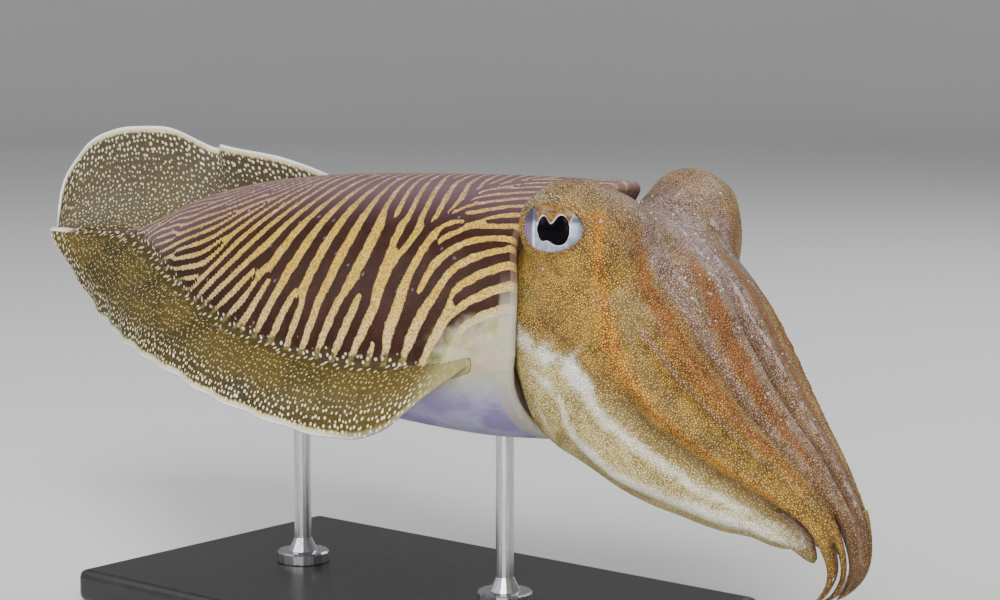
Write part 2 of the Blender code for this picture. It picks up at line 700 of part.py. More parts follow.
def arm_section(number, side, s):
    """Closed ring of one arm at distance s along the crown: its outer face, then its inner face."""
    borders = (*ARM_UPPER_BORDERS, through(ARM_LOWER_BORDER, s), 180.0)
    start, end = (math.radians(a) for a in borders[number - 1 : number + 1])
    middle, half = (start + end) / 2, (end - start) / 2
    inner = through(ARM_HOLLOW, s)
    centre_radius = (1.0 + inner) / 2
    left = min(max((ARM_END_S[number] - s) / ARM_TAPER, 0.0), 1.0)
    keep = ARM_TIP_SHARE + (1.0 - ARM_TIP_SHARE) * math.sqrt(left)
    grown = ease(s, HEAD_END_S, ARM_FORMS_GROWN_S)
    ring = []
    for count, outer in ((ARM_OUTER_POINTS, True), (ARM_INNER_POINTS, False)):
        for n in range(count):
            q = -1 + 2 * n / (count - 1)
            radius = inner
            if outer:
                by_midline = ARM_MIDLINE_GROOVE if number == 4 and q > 0 else 1.0
                groove = ARM_GROOVE * grown * by_midline * abs(q) ** ARM_GROOVE_POWER
                radius = 1.0 - groove + ARM_KEEL * grown * math.exp(-((q / ARM_KEEL_WIDTH) ** 2))
            else:
                q = -q
            radius = centre_radius + (radius - centre_radius) * keep
            clear = ARM_CLEARANCE / (through(CROWN_HALF_WIDTH, s) * radius)
            turn = middle + q * (half - clear) * keep
            ring.append(placed(crown_point(s, side * turn, radius)))
    return ring


def inner_face(number, side, s):
    """The points across one arm's inner face at distance s along the crown."""
    return [np.array(p) for p in arm_section(number, side, s)[ARM_OUTER_POINTS:]]


def sucker_diameter(number, s):
    """A sucker's diameter at distance s along the crown."""
    share = (s - SUCKER_START_S) / (ARM_END_S[number] - SUCKER_START_S)
    return SUCKER_LARGEST + (SUCKER_SMALLEST - SUCKER_LARGEST) * share


def sucker(number, side, s, row, finish, collection):
    """One sucker: a short cup that widens from its root in the arm to its rim."""
    across = inner_face(number, side, s)
    ahead = inner_face(number, side, s + SUCKER_ROOT)[1] - across[1]
    ahead /= np.linalg.norm(ahead)
    width = np.linalg.norm(across[-1] - across[0])
    diameter = min(sucker_diameter(number, s), SUCKER_SHARE_OF_WIDTH * width)
    edge = across[0] if row > 0 else across[-1]
    place = across[1] + (edge - across[1]) * SUCKER_ROW
    sideways = (edge - across[1]) / np.linalg.norm(edge - across[1])
    inward = np.cross(ahead, sideways)
    inward /= np.linalg.norm(inward)
    middle = np.array(placed(crown_point(s, 0.0, 0.0)))
    if np.dot(inward, middle - place) < 0:
        inward = -inward
    sideways = np.cross(inward, ahead)
    rings = []
    for height, size in ((-SUCKER_ROOT, SUCKER_BASE), (diameter * SUCKER_HEIGHT, 1.0)):
        ring = []
        for k in range(SUCKER_SIDES):
            turn = 2 * math.pi * k / SUCKER_SIDES
            reach = diameter / 2 * size
            ring.append(tuple(
                place + inward * height + (ahead * math.cos(turn) + sideways * math.sin(turn)) * reach
            ))
        rings.append(ring)
    points, faces = loft(rings)
    points[-1] = tuple(np.array(points[-1]) - inward * diameter * SUCKER_HEIGHT * SUCKER_CUP)
    return mesh_object(f"sucker_{s:.4f}", points, faces, finish, collection)


def arm_suckers(number, side, start, end, finish, collection):
    """The suckers on one length of an arm, in two alternating rows."""
    made = []
    s, row = start, 1
    while s < end:
        made.append(sucker(number, side, s, row, finish, collection))
        s += SUCKER_PITCH / 2 * sucker_diameter(number, s)
        row = -row
    return made


def build_arm(number, side, finish, collection):
    """One arm in two lengths: the base, and the tip that narrows and curls, each with its suckers."""
    word = "left" if side > 0 else "right"
    end = ARM_END_S[number]
    lengths = (
        ("base", HEAD_END_S + GAP, ARM_SPLIT_S, ARM_BASE_STATIONS, SUCKER_START_S),
        ("tip", ARM_SPLIT_S + GAP, end, ARM_TIP_STATIONS, ARM_SPLIT_S + SUCKER_CLEAR_OF_CUT),
    )
    for part, low, high, count, first in lengths:
        rings = [arm_section(number, side, s) for s in np.linspace(low, high, count)]
        arm = mesh_object(f"arm_{number}_{word}_{part}", *loft(rings), finish, collection)
        last = high - (SUCKER_CLEAR_OF_CUT if part == "base" else SUCKER_CLEAR_OF_TIP)
        combine(arm, arm_suckers(number, side, first, last, finish, collection), "UNION")


def belly_height(x):
    """Height of the belly's lowest line above the floor, at X in the stand's frame."""
    return through(MANTLE_BOTTOM, x - LOBE_TIP_X) + LOBE_TIP_Z


def build_base(finish, collection):
    """The stand's flat base, with its edges bevelled."""
    made = bmesh.new()
    bmesh.ops.create_cube(made, size=1.0)
    for v in made.verts:
        x, y, z = v.co
        v.co = (x * BASE_LENGTH, y * BASE_WIDTH, (z + 0.5) * BASE_HEIGHT)
    base = object_from("stand_base", made, finish, collection)
    bevel = base.modifiers.new("edges", "BEVEL")
    bevel.width = BASE_BEVEL
    bevel.segments = BASE_BEVEL_SEGMENTS
    bevel.limit_method = "ANGLE"
    base.data.set_sharp_from_angle(angle=math.radians(BASE_SHARP_ANGLE))
    return base


def build_rod(name, x, finish, collection):
    """One turned rod with a foot flange and a collar, from the base into its socket in the belly."""
    foot = BASE_HEIGHT + GAP
    top = belly_height(x) + ROD_SOCKET_DEPTH - GAP
    flange_top = foot + ROD_FLANGE_HEIGHT
    outline = (
        (0.0, top), (ROD_RADIUS - ROD_CHAMFER, top), (ROD_RADIUS, top - ROD_CHAMFER),
        (ROD_RADIUS, flange_top + ROD_COLLAR_HEIGHT), (ROD_COLLAR_RADIUS, flange_top),
        (ROD_FLANGE_RADIUS - ROD_CHAMFER, flange_top), (ROD_FLANGE_RADIUS, flange_top - ROD_CHAMFER),
        (ROD_FLANGE_RADIUS, foot), (0.0, foot),
    )
    mesh = bpy.data.meshes.new(name)
    mesh.from_pydata([(r, 0.0, z) for r, z in outline], [(n, n + 1) for n in range(len(outline) - 1)], [])
    rod = bpy.data.objects.new(name, mesh)
    rod.location.x = x
    collection.objects.link(rod)
    mesh.materials.append(finish)
    turned = rod.modifiers.new("turned", "SCREW")
    turned.angle = 2 * math.pi
    turned.steps = ROD_STEPS
    turned.render_steps = ROD_STEPS
    turned.use_merge_vertices = True
    turned.merge_threshold = ROD_MERGE
    turned.use_smooth_shade = True


def socket_cutter(x, finish, collection):
    """The blind socket in the belly that a rod stands in."""
    made = bmesh.new()
    top = belly_height(x) + ROD_SOCKET_DEPTH
    depth = 2 * ROD_SOCKET_DEPTH
    radius = ROD_RADIUS + GAP
    bmesh.ops.create_cone(
        made, cap_ends=True, segments=ROD_STEPS, radius1=radius, radius2=radius, depth=depth
    )
    for v in made.verts:
        v.co.x += x
        v.co.z += top - depth / 2
    return object_from(f"socket_{x:.3f}", made, finish, collection)


def main():
    for obj in list(bpy.data.objects):
        bpy.data.objects.remove(obj)
    animal = bpy.data.collections.new("cuttlefish")
    bpy.context.scene.collection.children.link(animal)
    mantle_skin = material("mantle_skin", (0.33, 0.21, 0.13), 0.45)
    fin_skin = material("fin_skin", (0.42, 0.33, 0.17), 0.45)
    head_skin = material("head_skin", (0.52, 0.34, 0.12), 0.45)
    funnel_skin = material("funnel_skin", (0.62, 0.58, 0.62), 0.40)
    eye_silver = material("eye_silver", (0.62, 0.66, 0.70), 0.20, 0.3)
    pupil_black = material("pupil_black", (0.004, 0.004, 0.005), 0.10)
    base_finish = material("base_satin_black", (0.03, 0.03, 0.032), 0.35)
    rod_steel = material("rod_steel", (0.60, 0.60, 0.60), 0.28, 1.0)
    rod_places = [x + LOBE_TIP_X for x in ROD_X]
    mantle = build_mantle(mantle_skin, animal)
    combine(mantle, [socket_cutter(x, mantle_skin, animal) for x in rod_places], "DIFFERENCE")
    build_head(head_skin, animal)
    build_funnel(funnel_skin, animal)
    for side in (1, -1):
        build_fin(side, fin_skin, animal)
        build_eye(side, eye_silver, pupil_black, animal)
        for number in ARM_END_S:
            build_arm(number, side, head_skin, animal)
    build_base(base_finish, animal)
    for name, x in zip(("stand_rod_front", "stand_rod_rear"), rod_places):
        build_rod(name, x, rod_steel, animal)


main()
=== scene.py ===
"""The looks of a common cuttlefish, life size, as a still museum model on a plain stand.

Metres, +Z up. The animal faces +X and its right side is -Y, as in the solids. The body shapes are
worked out in the animal's own frame, whose origin is the tip of the mantle's dorsal lobe.
"""

from __future__ import annotations

import logging
import math
from dataclasses import dataclass, field
from enum import Enum

import bmesh
import bpy
import numpy as np
from bpy.types import ID, Material, Mesh, Node, NodeSocket, NodeTree, Object
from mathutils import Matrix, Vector
from mathutils.bvhtree import BVHTree


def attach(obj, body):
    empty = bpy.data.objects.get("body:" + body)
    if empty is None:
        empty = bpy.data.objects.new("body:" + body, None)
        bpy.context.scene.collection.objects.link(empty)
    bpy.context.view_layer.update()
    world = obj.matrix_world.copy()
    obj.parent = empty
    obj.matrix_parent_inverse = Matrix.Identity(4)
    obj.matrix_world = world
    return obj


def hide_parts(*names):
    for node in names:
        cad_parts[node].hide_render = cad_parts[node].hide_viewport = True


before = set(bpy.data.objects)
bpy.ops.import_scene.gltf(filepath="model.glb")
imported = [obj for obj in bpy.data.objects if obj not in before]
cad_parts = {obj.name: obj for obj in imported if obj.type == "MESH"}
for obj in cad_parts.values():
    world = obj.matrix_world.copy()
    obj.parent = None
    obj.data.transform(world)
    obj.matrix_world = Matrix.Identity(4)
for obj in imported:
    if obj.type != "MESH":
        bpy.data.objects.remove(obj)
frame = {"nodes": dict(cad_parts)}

LOG = logging.getLogger("cuttlefish")
ROOT = "root"
LOBE_TIP = np.array((0.1, 0.0, 0.162))
SEED = 11

TINY = 1e-9

Array = np.ndarray
Knots = tuple[tuple[float, float], ...]
Triple = tuple[float, float, float]
Settings = dict[str, object]
Sockets = dict[str | int, object]


def ease(x: Array | float, low: float, high: float) -> Array:
    """0 below low, 1 above high, and smooth between."""
    t = np.clip((np.asarray(x, float) - low) / (high - low), 0.0, 1.0)
    return t * t * (3 - 2 * t)


def signed_power(value: Array, power: Array | float) -> Array:
    """value raised to a power, keeping its sign."""
    return np.sign(value) * np.abs(value) ** power


def unit(vectors: Array) -> Array:
    """The vectors along the last axis, each made one long."""
    return vectors / np.maximum(np.linalg.norm(vectors, axis=-1, keepdims=True), 1e-12)


def circle(count: int) -> Array:
    """Even turns round a circle, in radians."""
    return np.linspace(0, 2 * math.pi, count, endpoint=False)


def line_lengths(line: Array) -> Array:
    """Distance of each point of a line from its first point, along the line."""
    return np.concatenate([[0.0], np.cumsum(np.linalg.norm(np.diff(line, axis=0), axis=1))])


def hermite(
    t: Array, step: Array, values: tuple[Array, Array], slopes: tuple[Array, Array],
) -> Array:
    """Cubic values at this share of a step, between its end values and with its end slopes."""
    return (
        (1 + 2 * t) * (1 - t) ** 2 * values[0]
        + t * (1 - t) ** 2 * step * slopes[0]
        + t * t * (3 - 2 * t) * values[1]
        + t * t * (t - 1) * step * slopes[1]
    )


@dataclass(frozen=True)
class Curve:
    """A smooth curve through (place, value) knots, with no overshoot between them."""

    knots: Knots

    def __call__(self, x: Array | float) -> Array:
        """Reads the curve.

        Args:
            x: The places to read, of any shape.

        Returns:
            The values there, with the end values held beyond the ends.
        """
        xs, ys = np.array(self.knots, float).T
        steps = np.diff(xs)
        slopes = np.diff(ys) / steps
        before, after = slopes[:-1], slopes[1:]
        w1, w2 = 2 * steps[1:] + steps[:-1], steps[1:] + 2 * steps[:-1]
        level = before * after <= 0
        safe = np.where(level, 1.0, before), np.where(level, 1.0, after)
        inner = np.where(level, 0.0, (w1 + w2) / (w1 / safe[0] + w2 / safe[1]))
        tangents = np.concatenate([slopes[:1], inner, slopes[-1:]])
        x = np.clip(np.asarray(x, float), xs[0], xs[-1])
        i = np.clip(np.searchsorted(xs, x, side="right") - 1, 0, len(steps) - 1)
        t = (x - xs[i]) / steps[i]
        return hermite(t, steps[i], (ys[i], ys[i + 1]), (tangents[i], tangents[i + 1]))


class Side(Enum):
    """The two sides of the animal, as the sign of Y."""

    RIGHT = -1
    LEFT = 1


@dataclass
class Surface:
    """Points, faces and per-point values of one closed piece of skin."""

    points: Array
    faces: list[tuple[int, ...]]
    values: dict[str, Array] = field(default_factory=dict)


def tube(rings: Array, close_ends: bool = True) -> Surface:
    """A tube through rings of equal length.

    Args:
        rings: Points as ring, place round the ring, and coordinate.
        close_ends: Whether each end gets a fan to its middle.

    Returns:
        The surface, whose points keep the order of the rings.
    """
    count, around = rings.shape[:2]
    index = np.arange(count * around).reshape(count, around)
    a, b = index[:-1], index[1:]
    quads = np.stack([a, np.roll(a, -1, 1), np.roll(b, -1, 1), b], -1).reshape(-1, 4)
    faces = [tuple(q) for q in quads.tolist()]
    points = rings.reshape(-1, 3)
    if close_ends:
        for ring in (index[0], index[-1]):
            middle = len(points)
            points = np.vstack([points, points[ring].mean(0)])
            faces += [(int(ring[k]), int(ring[(k + 1) % around]), middle) for k in range(around)]
    return Surface(points, faces)


@dataclass(frozen=True)
class MantleForm:
    """The mantle's sections from the tail knob to the front margin, as the solids have them."""

    tail_x: float = -0.298
    front_x: float = -0.013
    floor_x: float = -0.0343
    half_width: Curve = Curve((
        (-0.298, 0.002), (-0.265, 0.0032), (-0.245, 0.006), (-0.225, 0.013), (-0.2, 0.026),
        (-0.16, 0.0435), (-0.12, 0.053), (-0.08, 0.056), (-0.04, 0.0545), (-0.013, 0.05),
    ))
    top: Curve = Curve((
        (-0.298, -0.031), (-0.265, -0.03), (-0.245, -0.028), (-0.225, -0.021), (-0.2, -0.0125),
        (-0.16, -0.0045), (-0.12, -0.0008), (-0.08, 0.0008), (-0.04, 0.0018), (-0.013, 0.0018),
    ))
    side_level: Curve = Curve((
        (-0.298, -0.033), (-0.265, -0.0325), (-0.245, -0.0335), (-0.225, -0.037), (-0.2, -0.043),
        (-0.16, -0.053), (-0.12, -0.06), (-0.08, -0.0635), (-0.04, -0.06), (-0.013, -0.052),
    ))
    bottom: Curve = Curve((
        (-0.298, -0.035), (-0.265, -0.036), (-0.245, -0.041), (-0.225, -0.049), (-0.2, -0.059),
        (-0.16, -0.072), (-0.12, -0.081), (-0.08, -0.086), (-0.04, -0.088), (-0.013, -0.087),
    ))
    lobe_reach: float = 0.0105
    lobe_sharpness: float = 8.0
    eye_notch: float = 0.011
    eye_notch_turn: float = math.radians(40.0)
    eye_notch_spread: float = math.radians(21.0)
    ventral_notch: float = 0.0075
    shear_start_x: float = -0.075
    wall: float = 0.004

    def point(self, x: Array, turn: Array, inset: float = 0.0) -> Array:
        """A point of the section at x.

        Args:
            x: Station along the animal.
            turn: Radians from the dorsal midline towards the right side.
            inset: Depth under the surface.

        Returns:
            The point in the animal's frame, before the front margin is sheared.
        """
        level = self.side_level(x)
        up, down = self.top(x) - level - inset, level - self.bottom(x) - inset
        height = np.where(np.cos(turn) >= 0, up, down)
        y = -(self.half_width(x) - inset) * np.sin(turn)
        return np.stack(np.broadcast_arrays(x, y, level + height * np.cos(turn)), -1)

    def shear(self, x: Array, turn: Array) -> Array:
        """How far forward the margin is drawn at this turn: lobe, eye notches and lower notch."""
        lobe = self.lobe_reach * np.maximum(np.cos(turn), 0.0) ** self.lobe_sharpness
        from_top = np.arccos(np.clip(np.cos(turn), -1.0, 1.0))
        notch = self.eye_notch * np.exp(-(((from_top - self.eye_notch_turn) / self.eye_notch_spread) ** 2))
        below = self.ventral_notch * np.maximum(-np.cos(turn), 0.0)
        return (lobe - notch - below) * ease(x, self.shear_start_x, self.front_x)


@dataclass(frozen=True)
class FinForm:
    """One fin's width, sweep and rise along the body, as the solids have them."""

    side: Side
    width: Curve
    sweep: Curve
    rise: Curve
    root_rise: float = 0.25
    ripple: float = 0.0008
    ripple_length: float = 0.021
    ripple_from: tuple[float, float] = (0.01, 0.02)

    def point(self, mantle: MantleForm, x: Array, share: Array) -> Array:
        """The middle of the fin's thickness.

        Args:
            mantle: The form that the fin grows from.
            x: Station of the fin's root.
            share: Share of the way from the root to the edge.

        Returns:
            The point in the animal's frame.
        """
        reach = self.width(x) * share
        sweep = np.radians(self.sweep(x))
        rise = np.radians(self.rise(x)) * (self.root_rise + (1 - self.root_rise) * share)
        level = np.cos(rise)
        wave = self.ripple * share**3 * np.sin(2 * math.pi * x / self.ripple_length)
        wave = wave * ease(self.width(x), *self.ripple_from)
        return np.stack([
            x - reach * level * np.sin(sweep),
            self.side.value * (mantle.half_width(x) + reach * level * np.cos(sweep) + wave),
            mantle.side_level(x) + reach * np.sin(rise),
        ], -1)


RIGHT_FIN = FinForm(
    Side.RIGHT,
    Curve((
        (-0.298, 0.0), (-0.292, 0.005), (-0.283, 0.0115), (-0.27, 0.02), (-0.255, 0.0278),
        (-0.24, 0.032), (-0.22, 0.0318), (-0.19, 0.0281), (-0.15, 0.0239), (-0.065, 0.0244),
        (-0.05, 0.022), (-0.042, 0.0165), (-0.036, 0.0095), (-0.031, 0.004), (-0.026, 0.0),
    )),
    Curve(((-0.298, 0.0), (-0.27, 4.0), (-0.23, 8.0), (-0.15, 6.0), (-0.036, 0.0))),
    Curve((
        (-0.298, -78.0), (-0.27, -72.0), (-0.245, -66.0), (-0.22, -58.0), (-0.19, -50.0),
        (-0.15, -45.0), (-0.1, -46.0), (-0.06, -54.0), (-0.036, -40.0),
    )),
)
LEFT_FIN = FinForm(
    Side.LEFT,
    Curve((
        (-0.298, 0.0), (-0.296, 0.012), (-0.292, 0.0245), (-0.283, 0.0336), (-0.27, 0.0415),
        (-0.255, 0.045), (-0.24, 0.0465), (-0.22, 0.0435), (-0.195, 0.0445), (-0.182, 0.0425),
        (-0.168, 0.0355), (-0.15, 0.03), (-0.065, 0.0255), (-0.05, 0.0225), (-0.042, 0.0165),
        (-0.036, 0.0095), (-0.031, 0.004), (-0.026, 0.0),
    )),
    Curve(((-0.298, 50.0), (-0.27, 40.0), (-0.24, 20.0), (-0.2, 10.0), (-0.036, 0.0))),
    Curve((
        (-0.298, 72.0), (-0.27, 78.0), (-0.246, 74.0), (-0.23, 58.0), (-0.22, 76.0), (-0.205, 72.0),
        (-0.19, 63.0), (-0.172, 28.0), (-0.152, -10.0), (-0.12, -38.0), (-0.06, -48.0), (-0.036, -40.0),
    )),
)


@dataclass(frozen=True)
class CrownForm:
    """The head and the crown of arms round one curved axis, as the solids have them."""

    axis: Knots = (
        (-0.034, -0.043), (-0.01, -0.043), (0.012, -0.0525), (0.032, -0.0665), (0.052, -0.081),
        (0.07, -0.0945), (0.0805, -0.1055), (0.0835, -0.1165), (0.0765, -0.127), (0.064, -0.1325),
    )
    half_width: Curve = Curve((
        (0.0, 0.036), (0.012, 0.04), (0.024, 0.045), (0.036, 0.045), (0.0478, 0.044),
        (0.0719, 0.039), (0.0966, 0.031), (0.1191, 0.021), (0.1336, 0.0152), (0.144, 0.0125),
        (0.156, 0.009), (0.168, 0.0055),
    ))
    up: Curve = Curve((
        (0.0, 0.028), (0.024, 0.0365), (0.036, 0.04), (0.0478, 0.0375), (0.0719, 0.0285),
        (0.0966, 0.0196), (0.1191, 0.0141), (0.1336, 0.0112), (0.144, 0.0095), (0.156, 0.007),
        (0.168, 0.004),
    ))
    down: Curve = Curve((
        (0.0, 0.028), (0.012, 0.032), (0.024, 0.0405), (0.036, 0.046), (0.0478, 0.0475),
        (0.0719, 0.043), (0.0966, 0.0325), (0.1191, 0.0225), (0.1336, 0.017), (0.144, 0.013),
        (0.156, 0.0085), (0.168, 0.0045),
    ))
    squareness: float = 0.8
    channel_depth: float = 0.42
    channel_half_angle: float = 0.42
    channel_fade: tuple[float, float] = (0.052, 0.092)
    head_end: float = 0.048
    eye_place: Triple = (0.0, 0.0325, -0.0115)
    eye_bulge: Triple = (0.017, 0.014, 0.016)
    shoulder_place: Triple = (0.007, 0.022, -0.021)
    shoulder_size: Triple = (0.0165, 0.019, 0.0205)
    blend: float = 0.003
    blend_ends: tuple[float, float] = (0.04, 0.048)
    blend_lift: float = 0.012
    search_share: float = 2.2
    search_steps: int = 44
    halvings: int = 12
    axis_samples: int = 400

    def axis_frames(self) -> tuple[Array, Array, Array]:
        """Even samples of the axis.

        Returns:
            Distances along it, points as (x, z), and unit directions as (x, z).
        """
        knots = np.array(self.axis)
        chord = line_lengths(knots)
        fine = np.linspace(0.0, chord[-1], self.axis_samples)
        tangents = np.gradient(knots, chord, axis=0)
        i = np.clip(np.searchsorted(chord, fine, side="right") - 1, 0, len(chord) - 2)
        step = (chord[i + 1] - chord[i])[:, None]
        t = ((fine - chord[i]) / step[:, 0])[:, None]
        line = hermite(t, step, (knots[i], knots[i + 1]), (tangents[i], tangents[i + 1]))
        lengths = line_lengths(line)
        return lengths, line, unit(np.gradient(line, lengths, axis=0))

    def half_height(self, s: Array, turn: Array) -> Array:
        """Height of the section above its axis at this turn, or depth below it."""
        return np.where(np.cos(turn) >= 0, self.up(s), self.down(s))

    def point(self, s: Array, turn: Array, share: Array | float) -> Array:
        """A point of the crown.

        Args:
            s: Distance along the axis.
            turn: Radians from its top towards the left side.
            share: Share of the way out to the surface.

        Returns:
            The point in the animal's frame.
        """
        lengths, line, direction = self.axis_frames()
        s, turn, share = np.broadcast_arrays(*(np.asarray(v, float) for v in (s, turn, share)))
        x, z = np.interp(s, lengths, line[:, 0]), np.interp(s, lengths, line[:, 1])
        dx, dz = np.interp(s, lengths, direction[:, 0]), np.interp(s, lengths, direction[:, 1])
        size = np.hypot(dx, dz)
        up_x, up_z = -dz / size, dx / size
        sine, cosine = np.sin(turn), np.cos(turn)
        square = 1.0 + (self.squareness - 1.0) * np.maximum(-cosine, 0.0) ** 0.5
        from_keel = math.pi - np.abs((turn + math.pi) % (2 * math.pi) - math.pi)
        channel = self.channel_depth * np.exp(-((from_keel / self.channel_half_angle) ** 2))
        share = share * (1.0 - channel * (1.0 - ease(s, *self.channel_fade)))
        height = self.half_height(s, turn) * signed_power(cosine, square) * share
        y = self.half_width(s) * signed_power(sine, square) * share
        return np.stack([x + up_x * height, y, z + up_z * height], -1)

    def outside(self, s: Array, turn: Array, share: Array) -> Array:
        """About how far a point is outside the smooth union of the crown and the eyes' masses."""
        centre, rim, point = (self.point(s, turn, n) for n in (0.0, 1.0, share))
        reach = np.linalg.norm(rim - centre, axis=-1)
        lift = self.blend_lift * ease(s, *self.blend_ends)
        apart = [(share - 1.0) * reach]
        for place, size in ((self.eye_place, self.eye_bulge), (self.shoulder_place, self.shoulder_size)):
            for side in Side:
                middle = np.array((place[0], side.value * place[1], place[2]))
                from_middle = np.linalg.norm((point - middle) / np.array(size), axis=-1)
                apart.append((from_middle - 1.0) * min(size) + lift)
        stacked = np.stack(apart)
        nearest = stacked.min(0)
        return nearest - self.blend * np.log(np.exp((nearest - stacked) / self.blend).sum(0))

    def head_point(self, s: Array, turn: Array) -> Array:
        """The outermost point of the head's surface on the ray at this turn, found by halving."""
        s, turn = np.broadcast_arrays(s, turn)
        step = self.search_share / self.search_steps
        low = np.zeros(s.shape)
        for n in range(self.search_steps):
            share = np.full(s.shape, n * step)
            low = np.where(self.outside(s, turn, share) <= 0, share, low)
        high = low + step
        for _ in range(self.halvings):
            middle = (low + high) / 2
            inside = self.outside(s, turn, middle) <= 0
            low, high = np.where(inside, middle, low), np.where(inside, high, middle)
        return self.point(s, turn, low)

    def coordinates(self, points: Array) -> tuple[Array, Array, Array]:
        """The way back from points to crown coordinates.

        Args:
            points: Points in the animal's frame.

        Returns:
            Distance along the axis, turn from its top in radians, and share outward.
        """
        lengths, line, direction = self.axis_frames()
        flat = points[:, [0, 2]]
        best, far = np.zeros(len(points), int), np.full(len(points), np.inf)
        for n in range(0, len(line), 2):
            away = ((flat - line[n]) ** 2).sum(1)
            nearer = away < far
            best[nearer], far[nearer] = n, away[nearer]
        s = lengths[best]
        offset = flat - line[best]
        height = -offset[:, 0] * direction[best, 1] + offset[:, 1] * direction[best, 0]
        half = np.where(height >= 0, self.up(s), self.down(s))
        across, above = points[:, 1] / self.half_width(s), height / half
        return s, np.arctan2(across, above), np.hypot(across, above)


@dataclass(frozen=True)
class ArmForm:
    """One arm: the sector of the crown that it fills, and its taper, keel and grooves."""

    number: int
    start: Curve
    end: Curve
    end_s: float
    keel_place: float = 0.0
    keel: float = 0.055
    keel_width: float = 0.16
    groove: float = 0.13
    groove_power: float = 3.2
    midline_groove: float = 0.3
    taper: float = 0.034
    tip_share: float = 0.1
    clearance: float = 0.0002
    grown_s: float = 0.075
    hollow: Curve = Curve(((0.048, 0.62), (0.0966, 0.52), (0.1191, 0.42), (0.156, 0.34)))

    def sector(self, s: float) -> tuple[float, float]:
        """Middle and half width of the sector that the arm fills, in radians from the crown's top."""
        start, end = math.radians(float(self.start(s))), math.radians(float(self.end(s)))
        return (start + end) / 2, (end - start) / 2

    def keep(self, s: float) -> float:
        """Share of its full size that the arm still has here, on the way to its tip."""
        left = min(max((self.end_s - s) / self.taper, 0.0), 1.0)
        return self.tip_share + (1.0 - self.tip_share) * math.sqrt(left)

    def section(self, crown: CrownForm, side: Side, s: float, outer: int, inner: int) -> Array:
        """A closed ring of the arm.

        Args:
            crown: The form whose sector the arm fills.
            side: Side of the animal.
            s: Distance along the crown's axis.
            outer: Points on the outer face.
            inner: Points on the inner face.

        Returns:
            The ring, its outer face first.
        """
        middle, half = self.sector(s)
        hollow, keep = float(self.hollow(s)), self.keep(s)
        grown = float(ease(s, crown.head_end, self.grown_s))
        q = np.linspace(-1, 1, outer)
        by_midline = np.where((q > 0) & (self.number == 4), self.midline_groove, 1.0)
        groove = self.groove * grown * by_midline * np.abs(q) ** self.groove_power
        keel = self.keel * grown * np.exp(-(((q - self.keel_place) / self.keel_width) ** 2))
        radius = np.concatenate([1.0 - groove + keel, np.full(inner, hollow)])
        q = np.concatenate([q, np.linspace(1, -1, inner)])
        centre = (1.0 + hollow) / 2
        radius = centre + (radius - centre) * keep
        clear = self.clearance / (crown.half_width(s) * radius)
        turn = middle + q * (half - clear) * keep
        return crown.point(s, side.value * turn, radius)


# The turns in degrees at which one arm's sector ends and the next begins, from the crown's top down.
ARM_BORDERS = (
    Curve(((0.0, 0.0), (0.2, 0.0))),
    Curve(((0.0, 34.0), (0.2, 34.0))),
    Curve(((0.0, 57.0), (0.2, 57.0))),
    Curve(((0.048, 80.0), (0.06, 88.0), (0.08, 97.0), (0.115, 95.0), (0.13, 88.0))),
    Curve(((0.0, 180.0), (0.2, 180.0))),
)
ARMS = tuple(
    ArmForm(n, ARM_BORDERS[n - 1], ARM_BORDERS[n], end_s, keel_place)
    for n, end_s, keel_place in ((1, 0.152, -0.45), (2, 0.158, 0.0), (3, 0.164, 0.25), (4, 0.144, -0.35))
)


